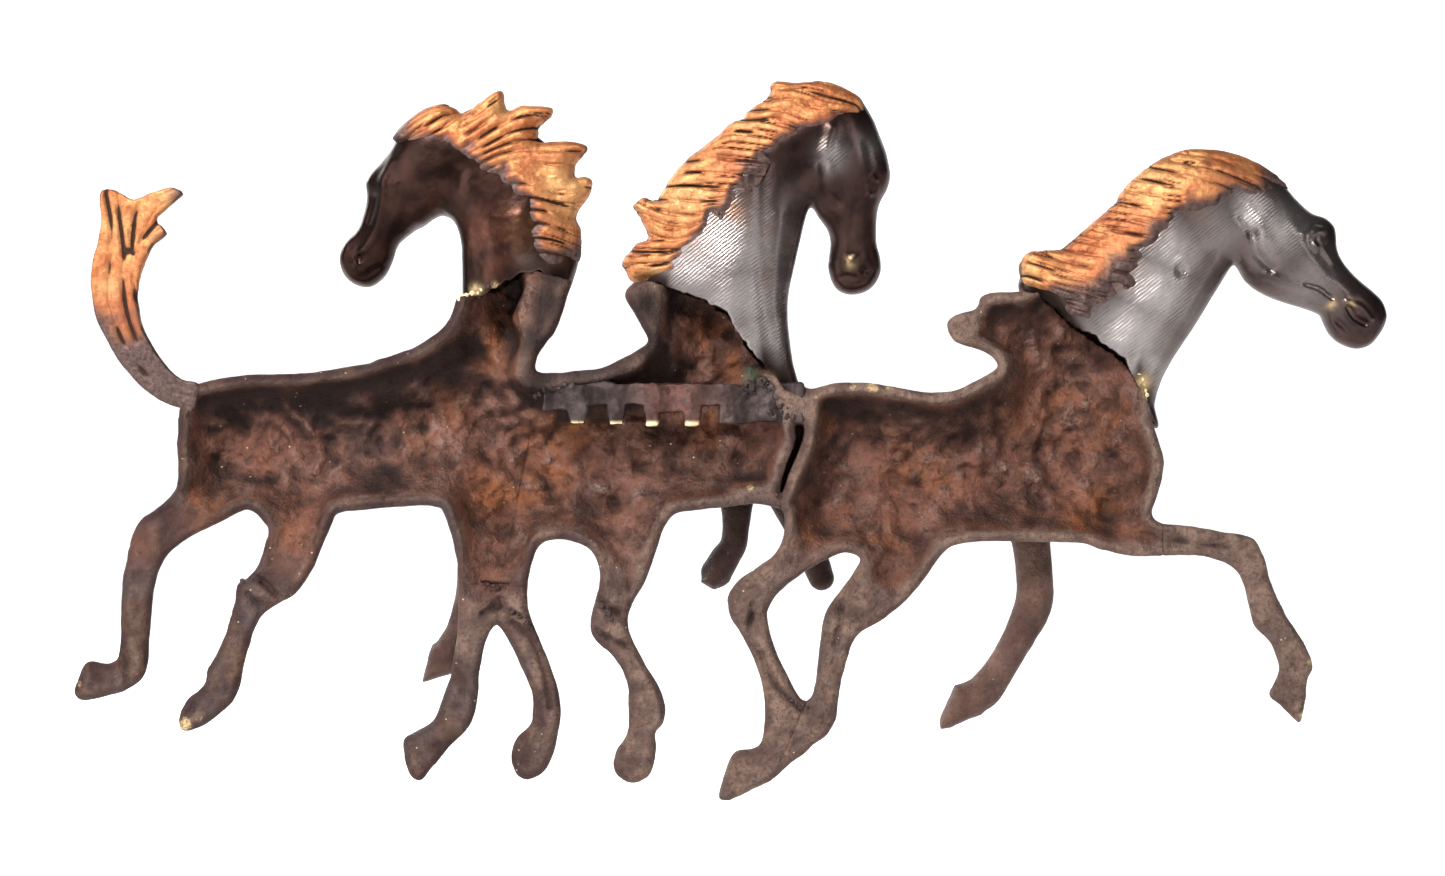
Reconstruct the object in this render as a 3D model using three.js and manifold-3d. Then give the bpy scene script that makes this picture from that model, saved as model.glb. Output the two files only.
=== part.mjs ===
// A bronze wall hanging of three galloping horses. The trunks are hollow half-reliefs that lie on the
// wall with their open backs; necks and heads are full-round; manes, tail, legs and the toothed hanger
// bar are separate castings brazed to them.
// Millimetres, +Z up, +X towards the tail. The wall plane is y = 0 and the relief faces -Y.
// The origin is the top of the nail notch, on the wall plane.
import * as THREE from "three";
import { mergeVertices } from "three/addons/utils/BufferGeometryUtils.js";
import Module from "manifold-3d";

const wasm = await Module();
wasm.setup();

// Driving dimensions.
const overallLength = 460; // nose of the leading horse to the last hoof
const overallHeight = 252; // crest of the middle horse to the lowest hoof
const reliefDepth = 27; // how far a trunk stands off the wall
const wall = 4; // metal left over a hollow
const rimWidth = 5; // ground edge round a hollow
const neckDepth = 22; // thickness of a full-round neck
const cheekDepth = 24; // thickness of a head across the jaws
const muzzleDepth = 16;
const standOff = 2; // clear space between the wall and a full-round neck
const thighDepth = 19;
const legDepth = 9; // flat-backed legs in the wall plane
const hoofDepth = 12;
const tailDepth = 13;
const maneDepth = 18;
const maneInset = 4; // from the wall plane to the back of a mane
const tuftBevel = 1.5; // broken edge of the manes and the tail
const farLegDepth = 12; // round legs in front of the wall plane
const farLegBack = -17; // their rearmost surface
const barThickness = 6;
const barHeight = 7.5; // bar above the tops of the notches
const notchWidth = 6.4;
const toothWidth = 6.9;
const toothHeight = 7;
const plainEndHeight = 2.3; // the bar's plain end is shallower than its teeth
const plainEndLength = 9;
const notchCount = 4;
const gap = 0.3; // clearance between touching castings

// The tables below are drawn at this size, then stretched to the overall size.
const drawnLength = 460;
const drawnHeight = 252;
const stretchX = overallLength / drawnLength;
const stretchZ = overallHeight / drawnHeight;
const stepsPerSpan = 2;
const archSteps = 7; // facets of a flat-backed section
const roundSteps = 10; // facets of a full-round section
const overrun = 2; // how far a cutter passes the face that it opens

// A table row is [x, z, half width, depth, back], with the section from y = back to back - depth.

// Turns a closed geometry into a solid for joining and cutting.
function solidOf(geometry) {
  geometry.deleteAttribute("normal");
  geometry.deleteAttribute("uv");
  const merged = mergeVertices(geometry, 1e-4);
  const vertProperties = new Float32Array(merged.attributes.position.array);
  const triVerts = new Uint32Array(merged.index.array);
  return new wasm.Manifold(new wasm.Mesh({ numProp: 3, vertProperties, triVerts }));
}

function join(solids) {
  return solids.reduce((whole, solid) => whole.add(solid));
}

function cut(solid, tools) {
  return tools.reduce((rest, tool) => rest.subtract(tool), solid);
}

// Smooth positions and sizes between the rows of a table, at the overall size.
function stationsOf(rows) {
  const spots = rows.map(([x, z]) => new THREE.Vector3(x, 0, z));
  const spans = rows.map(([, , half, depth, back = 0]) => new THREE.Vector3(half, depth, back));
  const spine = new THREE.CatmullRomCurve3(spots, false, "catmullrom");
  const sizes = new THREE.CatmullRomCurve3(spans, false, "catmullrom");
  const count = (rows.length - 1) * stepsPerSpan;
  return Array.from({ length: count + 1 }, (_, index) => {
    const spot = spine.getPoint(index / count);
    const course = spine.getTangent(index / count);
    const size = sizes.getPoint(index / count);
    const along = new THREE.Vector2(course.x * stretchX, course.z * stretchZ).normalize();
    return {
      x: spot.x * stretchX,
      z: spot.z * stretchZ,
      along,
      half: size.x * Math.hypot(course.z * stretchX, course.x * stretchZ),
      depth: size.y,
      back: size.z,
    };
  });
}

// The outline of one section as [across, y] pairs, with across from 1 to -1 times the half width.
function sectionOf(section, back, front, open) {
  const flat = section === "flat";
  const steps = flat ? archSteps : roundSteps;
  const turn = (flat ? Math.PI : 2 * Math.PI) / steps;
  const outline = Array.from({ length: flat ? steps + 1 : steps }, (_, step) => {
    const reach = flat ? Math.sin(step * turn) : (1 + Math.sin(step * turn)) / 2;
    return [Math.cos(step * turn), back + (front - back) * reach];
  });
  return open > 0 ? [[1, open], ...outline, [-1, open]] : outline;
}

// One closed limb through the rows. A section is "flat" backed or "round"; grow widens it all round,
// sink takes that much off its front only, and open carries its back past the wall plane.
function limb(rows, section, { grow = 0, sink = 0, open = 0 } = {}) {
  const stations = stationsOf(rows);
  const last = stations.length - 1;
  const vertices = [];
  stations.forEach((station, index) => {
    const push = Math.max(grow, 0) * (Number(index === last) - Number(index === 0));
    const half = station.half + grow;
    const front = station.back - station.depth - grow + sink;
    const back = station.back + (section === "flat" ? 0 : grow);
    for (const [across, y] of sectionOf(section, back, front, open)) {
      vertices.push(
        station.x + station.along.x * push - station.along.y * half * across,
        y,
        station.z + station.along.y * push + station.along.x * half * across,
      );
    }
  });
  const count = vertices.length / 3 / stations.length;
  const faces = [];
  for (let ring = 0; ring < last; ring += 1) {
    for (let step = 0; step < count; step += 1) {
      const a = ring * count + step;
      const b = ring * count + ((step + 1) % count);
      faces.push(a, b, b + count, a, b + count, a + count);
    }
  }
  for (let step = 1; step < count - 1; step += 1) {
    faces.push(0, step + 1, step);
    faces.push(last * count, last * count + step, last * count + step + 1);
  }
  const geometry = new THREE.BufferGeometry();
  geometry.setAttribute("position", new THREE.Float32BufferAttribute(vertices, 3));
  geometry.setIndex(faces);
  return solidOf(geometry);
}

// The tool that opens a hollow in a flat-backed limb, leaving the rim and the wall.
function hollow(rows) {
  return limb(rows, "flat", { grow: -rimWidth, sink: wall - rimWidth, open: overrun });
}

// The tool that fits a flat-backed neighbour round this limb with the clearance.
function socket(rows, section) {
  return limb(rows, section, { grow: gap, open: overrun });
}

// A plate cut to an outline of [x, z] points, from y = back forwards by depth, with broken edges.
function plate(points, depth, back, bevel = 0) {
  const outline = new THREE.Shape(points.map(([x, z]) => new THREE.Vector2(x, z)));
  const geometry = new THREE.ExtrudeGeometry(outline, {
    depth: depth - 2 * bevel,
    bevelEnabled: bevel > 0,
    bevelThickness: bevel,
    bevelSize: bevel,
    bevelOffset: -bevel,
    bevelSegments: 1,
  });
  geometry.rotateX(Math.PI / 2);
  geometry.translate(0, back - bevel, 0);
  return solidOf(geometry);
}

function stretched(points) {
  return points.map(([x, z]) => [x * stretchX, z * stretchZ]);
}

// Everything on the left of the seam that runs from one [x, z] point to the next, and half the gap.
function leftOf([[x0, z0], [x1, z1]]) {
  const reach = overallLength + overallHeight;
  const from = new THREE.Vector2(x0 * stretchX, z0 * stretchZ);
  const to = new THREE.Vector2(x1 * stretchX, z1 * stretchZ);
  const along = to.clone().sub(from).normalize();
  const left = new THREE.Vector2(-along.y, along.x);
  const middle = from.clone().addScaledVector(left, reach / 2 - gap / 2);
  const block = new THREE.BoxGeometry(reach, reach, reach);
  block.rotateY(-Math.atan2(along.y, along.x));
  block.translate(middle.x, 0, middle.y);
  return solidOf(block);
}

function rightOf([from, to]) {
  return leftOf([to, from]);
}

// Trailing horse.
const trunk1 = [
  [187, -14, 9, 14],
  [182, -14, 19, reliefDepth - 3],
  [165, -13, 24, reliefDepth],
  [140, -13, 24.5, reliefDepth - 2],
  [118, -10.5, 26, reliefDepth - 2],
  [100, -6.5, 29, reliefDepth],
  [82, -7, 34, reliefDepth],
  [62, -12, 30, reliefDepth],
  [48, -14, 28, reliefDepth],
];
const neckBase1 = [
  [84, -4, 18, reliefDepth],
  [78, 14, 18, reliefDepth - 1],
  [71, 30, 19, reliefDepth - 2],
  [67, 46, 19, neckDepth + standOff],
];
const shoulder1 = [
  [80, -30, 17, reliefDepth],
  [80, -48, 11, thighDepth],
  [80, -66, 8.5, legDepth + 2],
];
const legA = [
  [172, -22, 14, thighDepth],
  [184, -36, 10.5, thighDepth - 3],
  [194, -47, 8.5, legDepth + 3],
  [200, -60, 6.2, legDepth],
  [201.5, -78, 5.2, legDepth],
  [203, -91, 5.8, legDepth],
  [210, -96.5, 6.2, hoofDepth - 1],
  [219, -97, 6.4, hoofDepth],
  [223.5, -98.5, 3.6, hoofDepth - 4],
];
const legB = [
  [146, -25, 14, thighDepth],
  [146, -44, 11, thighDepth - 4],
  [151, -58, 9.5, legDepth + 4],
  [160, -70, 6.6, legDepth],
  [166, -83, 5.4, legDepth],
  [170, -95, 6.1, legDepth],
  [176, -103, 6.4, hoofDepth - 1],
  [182, -109, 6.4, hoofDepth],
  [185.5, -112.5, 3.2, hoofDepth - 4],
];
const legC = [
  [80, -63, 8.6, legDepth + 2],
  [82.5, -76, 6.2, legDepth],
  [85.5, -92, 5.1, legDepth],
  [88.5, -104, 6.6, legDepth],
  [92.5, -113, 6.9, hoofDepth - 1],
  [99, -119.5, 7.2, hoofDepth],
  [105.5, -124, 7.6, hoofDepth],
];
const farForelegF = [
  [84, -30, 9, farLegDepth, farLegBack + 6],
  [84, -50, 7, farLegDepth, farLegBack],
  [86, -68, 6, farLegDepth - 1, farLegBack - 2],
  [90, -82, 5.5, farLegDepth - 2, farLegBack - 4],
  [97, -92, 6.4, farLegDepth - 1, farLegBack - 4],
  [103, -96.5, 3.6, farLegDepth - 4, farLegBack - 6],
];
const neck1 = [
  [66, 32, 19, neckDepth, -standOff],
  [67, 41, 18, neckDepth, -standOff],
  [69.5, 52, 16.5, neckDepth - 1, -standOff],
  [72, 63, 16, neckDepth - 1, -standOff],
  [77, 75, 16, neckDepth - 2, -standOff - 2],
  [86, 85, 14.5, neckDepth - 3, -standOff - 4],
];
const head1 = [
  [80, 84, 9, neckDepth - 6, -standOff - 5],
  [89, 86, 13, cheekDepth - 4, -standOff - 3],
  [98, 82.5, 15, cheekDepth, -standOff - 3],
  [106, 73.5, 14, cheekDepth, -standOff - 6],
  [113, 64, 10.5, cheekDepth - 4, -standOff - 11],
  [118.5, 56, 9, muzzleDepth, -standOff - 15],
  [122.5, 49, 9.4, muzzleDepth, -standOff - 17],
  [124.5, 43.5, 5.5, muzzleDepth - 5, -standOff - 19],
];
const mane1 = [
  [111, 94], [105, 100], [99, 104], [93, 105.5], [87, 102], [80, 106], [74, 110], [71, 108], [70, 103],
  [64, 105], [57, 105], [54.5, 102.5], [60, 96], [60, 92.5], [51, 92.5], [42, 91], [44, 86], [47, 81],
  [41, 79.5], [43, 72], [46.5, 66], [45, 58], [46, 48], [52, 44], [60, 47], [66, 66], [76, 78], [90, 88],
  [102, 93],
];
const tail = [
  [181, -1], [190, 0], [196, 3], [204, 10], [211, 21], [215.5, 32], [217.5, 43], [216, 54], [213.5, 61],
  [214.5, 70], [213, 76], [209, 76], [202, 72.5], [195, 75.5], [188, 76.5], [184, 74], [190, 69], [194.5, 65],
  [190.5, 60.5], [196, 55], [200, 45], [200, 33], [196, 21], [188, 11], [179, 7],
];

// Middle horse.
const trunk2 = [
  [78, -20, 27, reliefDepth],
  [62, -18, 30, reliefDepth],
  [45, -18, 30, reliefDepth],
  [27, -13, 29, reliefDepth],
  [8, -11, 27, reliefDepth],
  [-9, -12, 22, reliefDepth],
  [-20, -12, 17, reliefDepth - 4],
  [-26, -12, 8, 14],
];
const neckBase2 = [
  [10, -12, 24, reliefDepth],
  [2, 8, 26, reliefDepth],
  [-2, 24, 28, reliefDepth - 1],
  [-6, 44, 28, neckDepth + standOff],
];
const thighD = [
  [66, -30, 16, thighDepth + 4],
  [67.5, -48, 9, thighDepth - 4],
  [69, -66, 5.8, legDepth + 2],
];
const thighE = [
  [30, -22, 18, thighDepth + 4],
  [29, -44, 12.5, thighDepth],
  [30.5, -58, 9, legDepth + 4],
  [33.5, -71, 7, legDepth + 1],
];
const junction2 = [
  [-12, 9, 7, 14],
  [-22, 5, 8.5, 16],
  [-31, 1, 9, 16],
  [-39, -1, 7.5, 12],
];
const web2 = [
  [-10, -30, 4, 9],
  [-19, -32, 3.4, 8],
  [-29, -33, 3.4, 8],
];
const legD = [
  [68.5, -63, 5.6, legDepth + 2],
  [67.5, -75, 5.6, legDepth],
  [62.5, -90, 5, legDepth],
  [58, -102, 5.2, legDepth],
  [58, -113, 5.5, legDepth + 1],
  [61, -122, 7.6, hoofDepth],
  [63, -130, 5, hoofDepth - 3],
];
const legE = [
  [33.5, -68, 7, legDepth + 1],
  [35, -78, 6.8, legDepth],
  [30, -88, 5.3, legDepth],
  [24.5, -98, 5.4, legDepth],
  [22.5, -109, 6.4, legDepth],
  [24.5, -118, 6.4, legDepth + 1],
  [26.5, -126, 7.6, hoofDepth],
  [27, -131.5, 5, hoofDepth - 3],
];
const farForelegG = [
  [-8, -22, 8, farLegDepth, farLegBack + 6],
  [-9.5, -38, 5.6, farLegDepth, farLegBack],
  [-8.5, -49, 5, farLegDepth - 2, farLegBack - 2],
  [-4.5, -56, 5.2, farLegDepth - 2, farLegBack - 4],
  [-1.5, -62, 4.4, farLegDepth - 3, farLegBack - 5],
];
const farForelegH = [
  [-16, -14, 8, farLegDepth, farLegBack + 4],
  [-25, -30, 6.4, farLegDepth, farLegBack - 2],
  [-33, -45, 5.4, farLegDepth - 1, farLegBack - 8],
  [-38.5, -57, 5.2, farLegDepth - 2, farLegBack - 10],
  [-40.5, -66, 4, farLegDepth - 4, farLegBack - 11],
];
const neck2 = [
  [4, 8, 31, neckDepth, -standOff],
  [-2, 24, 28, neckDepth, -standOff],
  [-9, 41, 23, neckDepth, -standOff],
  [-14, 60, 20, neckDepth, -standOff],
  [-20, 76, 18, neckDepth - 1, -standOff],
  [-28, 88, 16, neckDepth - 2, -standOff],
  [-38, 97, 13, neckDepth - 2, -standOff - 2],
];
const head2 = [
  [-32, 94, 10, cheekDepth - 6, -standOff - 3],
  [-42, 94, 13, cheekDepth - 2, -standOff - 3],
  [-49, 85, 13.4, cheekDepth, -standOff - 4],
  [-51, 73, 11, cheekDepth - 2, -standOff - 8],
  [-51.5, 63, 8.8, muzzleDepth, -standOff - 14],
  [-52, 53, 9.2, muzzleDepth, -standOff - 17],
  [-52, 46, 8.8, muzzleDepth - 2, -standOff - 19],
  [-52, 40, 5, muzzleDepth - 6, -standOff - 21],
];
const mane2 = [
  [-52, 108], [-46, 112.5], [-38, 114], [-23, 114], [-20.5, 111], [-20, 107.5], [-12, 102], [-6, 98.5],
  [4, 90], [11, 83], [17.5, 73], [22, 73], [27, 70], [23, 62], [22.5, 58], [27, 55], [31, 49.5], [27, 43],
  [16, 42], [10, 48], [0, 66], [-14, 76], [-26, 87], [-34, 94], [-48, 95], [-54, 101],
];

// Leading horse.
const trunk3 = [
  [-33, -18, 10, 14],
  [-38, -20, 23, reliefDepth - 3],
  [-52, -21, 28, reliefDepth],
  [-72, -21.5, 26.5, reliefDepth - 1],
  [-90, -21.5, 27, reliefDepth - 1],
  [-110, -17, 31, reliefDepth],
  [-130, -20, 32, reliefDepth],
  [-146, -22, 27, reliefDepth],
  [-154, -22, 20, reliefDepth - 3],
  [-159, -22, 10, 14],
];
const neckBase3 = [
  [-116, -20, 27, reliefDepth],
  [-124, 0, 29, reliefDepth],
  [-132, 17, 30, reliefDepth - 1],
  [-142, 33, 27, neckDepth + standOff],
];
const maneShell3 = [
  [-118, 24, 13, reliefDepth - 6],
  [-104, 27, 11.5, reliefDepth - 10],
  [-92, 28.5, 7.5, 12],
  [-84, 27.5, 4, 7],
];
const thighI1 = [
  [-44, -34, 15, thighDepth + 3],
  [-34, -50, 10, thighDepth - 2],
  [-23, -58, 8, legDepth + 4],
  [-15, -65, 8, legDepth + 2],
];
const thighI2 = [
  [-66, -34, 17, thighDepth + 3],
  [-64, -53, 12.5, thighDepth - 2],
  [-56, -67, 10, legDepth + 4],
  [-48, -77, 7.8, legDepth + 1],
];
const legI1 = [
  [-17, -62.5, 8, legDepth + 2],
  [-13.5, -71, 7.4, legDepth],
  [-15.5, -80, 6, legDepth],
  [-19.5, -89, 5, legDepth],
  [-23.5, -99, 5.4, legDepth],
  [-24.5, -109, 6.4, legDepth + 1],
  [-20, -119, 8.4, hoofDepth],
  [-12, -126.5, 9, hoofDepth],
  [-5.5, -130, 8.8, hoofDepth - 2],
];
const legI2 = [
  [-50, -74.5, 8, legDepth + 1],
  [-45, -83, 6.2, legDepth],
  [-42.5, -93, 5.1, legDepth],
  [-41, -103, 5, legDepth],
  [-38, -111, 5.4, legDepth],
  [-31, -117.5, 6, legDepth],
  [-22, -123, 6.4, legDepth],
];
const shoulderK = [
  [-136, -38, 12, thighDepth],
  [-148, -45, 8, thighDepth - 5],
  [-161, -47.3, 5.8, legDepth + 1],
];
const legK = [
  [-158, -47, 5.9, legDepth + 1],
  [-172, -48.3, 5.3, legDepth],
  [-185, -51, 5.6, legDepth],
  [-191, -58, 5.4, legDepth],
  [-194, -68, 5, legDepth],
  [-199, -79, 5.8, legDepth],
  [-205, -90, 6.3, legDepth + 1],
  [-204.5, -98, 5.4, legDepth + 1],
  [-202, -106, 7, hoofDepth],
];
const farForelegJ = [
  [-113, -26, 10, farLegDepth + 2, farLegBack + 6],
  [-115, -44, 7.4, farLegDepth + 1, farLegBack],
  [-116.5, -60, 6.6, farLegDepth, farLegBack],
  [-115.5, -74, 6.2, farLegDepth, farLegBack],
  [-107, -88, 5.8, farLegDepth - 1, farLegBack],
  [-100, -100, 5.8, farLegDepth - 1, farLegBack],
  [-92.5, -106.5, 6.2, farLegDepth - 1, farLegBack],
  [-86, -108.5, 7.2, farLegDepth, farLegBack],
];
const neck3 = [
  [-126, 4, 30, neckDepth, -standOff],
  [-134, 17, 28, neckDepth, -standOff],
  [-144, 31, 24, neckDepth, -standOff],
  [-158, 48, 22, neckDepth, -standOff],
  [-171, 62, 20, neckDepth - 1, -standOff],
  [-184, 69, 18, neckDepth - 1, -standOff - 1],
];
const head3 = [
  [-176, 68, 14, cheekDepth - 4, -standOff - 1],
  [-189, 66, 17, cheekDepth - 1, -standOff],
  [-201, 56.5, 16.4, cheekDepth, -standOff],
  [-210, 47.5, 13, cheekDepth - 2, -standOff - 1],
  [-218, 39, 10.4, muzzleDepth, -standOff - 4],
  [-227, 31, 10.3, muzzleDepth, -standOff - 5],
  [-233, 26, 8.4, muzzleDepth - 2, -standOff - 6],
  [-236, 24, 5, muzzleDepth - 6, -standOff - 8],
];
const mane3 = [
  [-110, 41], [-108.5, 49], [-112, 53.5], [-123, 54.5], [-133, 63], [-141, 70], [-148, 78.5], [-157, 85.5],
  [-166, 89.5], [-175, 90], [-185, 87.5], [-194, 83], [-201, 77], [-196, 72], [-184, 70], [-166, 66],
  [-150, 50], [-140, 34], [-133, 30], [-124, 36], [-116, 41],
];

// Seams: between the first two trunks, and where each neck's rear half starts over the hollow.
const trunkSeam = [[61, 13], [74, -64]];
const neckSeam1 = [[86, 38], [47, 43]];
const neckSeam2 = [[27, 42], [-26, 5]];
const neckSeam3 = [[-110, 40], [-154, -2]];
const barSeat = -31; // where the bar meets the middle horse's chest rim

// The bar bridges the middle horse's hollow, with its notches from the origin towards the tail.
function barOutline() {
  const right = barSeat * stretchX;
  const points = [[right, barHeight], [right, -toothHeight]];
  let tooth = 0;
  for (let index = 0; index < notchCount; index += 1) {
    const notch = index * (notchWidth + toothWidth) - notchWidth / 2;
    tooth = notch + notchWidth;
    points.push([notch, -toothHeight], [notch, 0], [tooth, 0], [tooth, -toothHeight]);
  }
  const lastTooth = tooth + toothWidth;
  const left = lastTooth + plainEndLength;
  points.push([lastTooth, -toothHeight], [lastTooth, -plainEndHeight]);
  points.push([left, -plainEndHeight], [left, barHeight]);
  return points.reverse();
}

// The block that makes room for the bar.
function barRoom() {
  const bar = plate(barOutline(), barThickness, 0).boundingBox();
  const room = new THREE.Box3(new THREE.Vector3(...bar.min), new THREE.Vector3(...bar.max));
  room.expandByScalar(gap);
  room.max.y = overrun;
  const size = room.getSize(new THREE.Vector3());
  const middle = room.getCenter(new THREE.Vector3());
  const block = new THREE.BoxGeometry(...size.toArray());
  return solidOf(block.translate(...middle.toArray()));
}

// A trunk with its hollow. Lobes are hollow like the trunk, and lumps stay solid.
function castBody({ trunk, hollowTrunk, lobes, lumps }, tools) {
  const outside = join([trunk, ...lobes, ...lumps].map((rows) => limb(rows, "flat")));
  return cut(outside, [...[hollowTrunk, ...lobes].map(hollow), ...tools]);
}

// The tool that cuts a neighbour clear of these limbs.
function outsideOf(rowSets) {
  return join(rowSets.map((rows) => socket(rows, "flat")));
}

const inner = (rows) => rows.slice(1, -1);

const body1 = castBody(
  {
    trunk: trunk1,
    hollowTrunk: inner([...trunk1, [40, -14, 28, reliefDepth]]),
    lobes: [neckBase1, shoulder1, legA.slice(0, 3), legB.slice(0, 3)],
    lumps: [legA.slice(1), legB.slice(1)],
  },
  [rightOf(trunkSeam), rightOf(neckSeam1), socket(legC, "flat"), barRoom()],
);
const body2 = castBody(
  {
    trunk: trunk2,
    hollowTrunk: trunk2.slice(0, -1),
    lobes: [neckBase2, thighD, thighE],
    lumps: [junction2, web2],
  },
  [leftOf(trunkSeam), rightOf(neckSeam2), ...[legC, legD, legE].map((rows) => socket(rows, "flat")),
    barRoom()],
);
const body3 = castBody(
  {
    trunk: trunk3,
    hollowTrunk: inner(trunk3),
    lobes: [neckBase3, maneShell3, thighI1, thighI2, shoulderK],
    lumps: [],
  },
  [rightOf(neckSeam3), ...[legI1, legI2, legK].map((rows) => socket(rows, "flat")),
    outsideOf([trunk2, neckBase2, junction2, web2])],
);

const outside1 = outsideOf([trunk1, shoulder1, legC]);
const outside2 = outsideOf([trunk2, neckBase2, thighD, thighE, junction2, web2]);
const outside3 = outsideOf([trunk3, neckBase3, thighI1, thighI2, legI1]);

function neckAndHead(neck, head, seam) {
  const whole = limb(neck, "round").add(limb(head, "round"));
  return cut(whole, [leftOf(seam)]);
}

function roundTools(neck, head) {
  return [limb(neck, "round", { grow: gap }), limb(head, "round", { grow: gap })];
}

const bronzes = {
  shell: { color: 0x4a3530, roughness: 0.5, metalness: 0.9 },
  neck: { color: 0x4b4143, roughness: 0.38, metalness: 0.9 },
  leg: { color: 0x5b4640, roughness: 0.5, metalness: 0.9 },
  gilt: { color: 0xd99a4e, roughness: 0.4, metalness: 0.9 },
  bar: { color: 0x6a6062, roughness: 0.45, metalness: 0.9 },
};

const horses = new THREE.Group();

function addNode(name, solid, finish) {
  const { vertProperties, triVerts } = solid.getMesh();
  const geometry = new THREE.BufferGeometry();
  geometry.setAttribute("position", new THREE.BufferAttribute(vertProperties, 3));
  geometry.setIndex(new THREE.BufferAttribute(triVerts, 1));
  const mesh = new THREE.Mesh(geometry, new THREE.MeshStandardMaterial(bronzes[finish]));
  mesh.name = name;
  horses.add(mesh);
}

addNode("horse_1_body", body1, "shell");
addNode("horse_1_head_neck", neckAndHead(neck1, head1, neckSeam1), "neck");
addNode("horse_1_mane", cut(plate(stretched(mane1), maneDepth, -maneInset, tuftBevel),
  roundTools(neck1, head1)), "gilt");
addNode("horse_1_tail", cut(plate(stretched(tail), tailDepth, 0, tuftBevel), [outside1]), "gilt");
addNode("horse_1_near_foreleg", limb(legC, "flat"), "leg");
addNode("horse_1_far_foreleg", cut(limb(farForelegF, "round"), [outside1]), "leg");
addNode("horse_2_body", body2, "shell");
addNode("horse_2_head_neck", neckAndHead(neck2, head2, neckSeam2), "neck");
addNode("horse_2_mane", cut(plate(stretched(mane2), maneDepth, -maneInset, tuftBevel),
  roundTools(neck2, head2)), "gilt");
addNode("horse_2_rear_hind_leg", cut(limb(legD, "flat"), [socket(legC, "flat")]), "leg");
addNode("horse_2_front_hind_leg", limb(legE, "flat"), "leg");
addNode("horse_2_rear_foreleg", cut(limb(farForelegG, "round"), [outside2]), "leg");
addNode("horse_2_front_foreleg", cut(limb(farForelegH, "round"),
  [outside2, outside3, limb(farForelegG, "round", { grow: gap })]), "leg");
addNode("horse_3_body", body3, "shell");
addNode("horse_3_head_neck", neckAndHead(neck3, head3, neckSeam3), "neck");
addNode("horse_3_mane", cut(plate(stretched(mane3), maneDepth, -maneInset, tuftBevel),
  roundTools(neck3, head3)), "gilt");
addNode("horse_3_rear_hind_leg", limb(legI1, "flat"), "leg");
addNode("horse_3_front_hind_leg", cut(limb(legI2, "flat"), [socket(legI1, "flat")]), "leg");
addNode("horse_3_near_foreleg", limb(legK, "flat"), "leg");
addNode("horse_3_far_foreleg", cut(limb(farForelegJ, "round"), [outside3]), "leg");
addNode("hanger_bar", plate(barOutline(), barThickness, 0), "bar");

export default horses;
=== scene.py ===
import math

import bpy
import numpy as np
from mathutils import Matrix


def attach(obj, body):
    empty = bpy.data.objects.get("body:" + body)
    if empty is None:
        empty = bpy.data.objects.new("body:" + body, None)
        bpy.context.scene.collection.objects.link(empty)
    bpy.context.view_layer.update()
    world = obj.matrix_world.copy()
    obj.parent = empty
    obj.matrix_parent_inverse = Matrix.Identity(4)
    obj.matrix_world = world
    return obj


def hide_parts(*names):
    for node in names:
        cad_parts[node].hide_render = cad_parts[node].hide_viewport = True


# Three galloping horses in cast bronze, seen from the open back that lies on the wall.
# Drawings are in millimetres in the part's own frame: x towards the tail, z up, y = 0 on the wall.
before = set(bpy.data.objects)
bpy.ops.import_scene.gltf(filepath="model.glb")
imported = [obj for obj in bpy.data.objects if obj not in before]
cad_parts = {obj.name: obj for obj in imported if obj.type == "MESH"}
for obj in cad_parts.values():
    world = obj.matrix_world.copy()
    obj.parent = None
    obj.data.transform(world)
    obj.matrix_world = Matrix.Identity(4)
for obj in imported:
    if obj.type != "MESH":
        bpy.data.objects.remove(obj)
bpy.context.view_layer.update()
mm = 0.001

stage = {"viewDistance": 800.0, "axisX": -4.4, "axisZ": -11.6, "frameWidth": 505.75, "sensor": 36.0,
         "floor": -205.0, "skyColour": (0.9, 0.93, 1.0), "skyStrength": 0.07}


def throughPoints(points, closed, pace=1.0):
    # a smooth run through drawn points, which may carry widths as further columns
    knots = np.array(points, float)
    if closed:
        knots = np.vstack([knots[-1], knots, knots[0], knots[1]])
    else:
        knots = np.vstack([2 * knots[0] - knots[1], knots, 2 * knots[-1] - knots[-2]])
    runs = []
    for a, b, c, d in zip(knots, knots[1:], knots[2:], knots[3:]):
        steps = max(2, int(np.linalg.norm(c[:2] - b[:2]) / pace))
        t = np.arange(steps)[:, None] / steps
        runs.append(0.5 * (2 * b + (c - a) * t + (2 * a - 5 * b + 4 * c - d) * t ** 2
                           + (3 * b - a - 3 * c + d) * t ** 3))
    if not closed:
        runs.append(knots[-2:-1])
    return np.vstack(runs)


def spread(points, depth):
    # moves a drawing out along the sight lines to the depth at which it stands
    grow = 1 + depth / stage["viewDistance"]
    return [[stage["axisX"] + (p[0] - stage["axisX"]) * grow, stage["axisZ"] + (p[1] - stage["axisZ"]) * grow,
             *p[2:]] for p in points]


def blur(values, radius, pitch):
    nx, nz = values.shape
    pad = int(3 * radius / pitch) + 1
    wide = np.pad(values, pad, mode="edge")
    fx = np.fft.fftfreq(wide.shape[0])[:, None]
    fz = np.fft.rfftfreq(wide.shape[1])[None, :]
    soft = np.exp(-2 * (math.pi * radius / pitch) ** 2 * (fx ** 2 + fz ** 2))
    return np.fft.irfft2(np.fft.rfft2(wide) * soft, wide.shape)[pad:pad + nx, pad:pad + nz]


def ramp(values, low, high):
    t = np.clip((values - low) / (high - low), 0, 1)
    return t * t * (3 - 2 * t)


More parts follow.
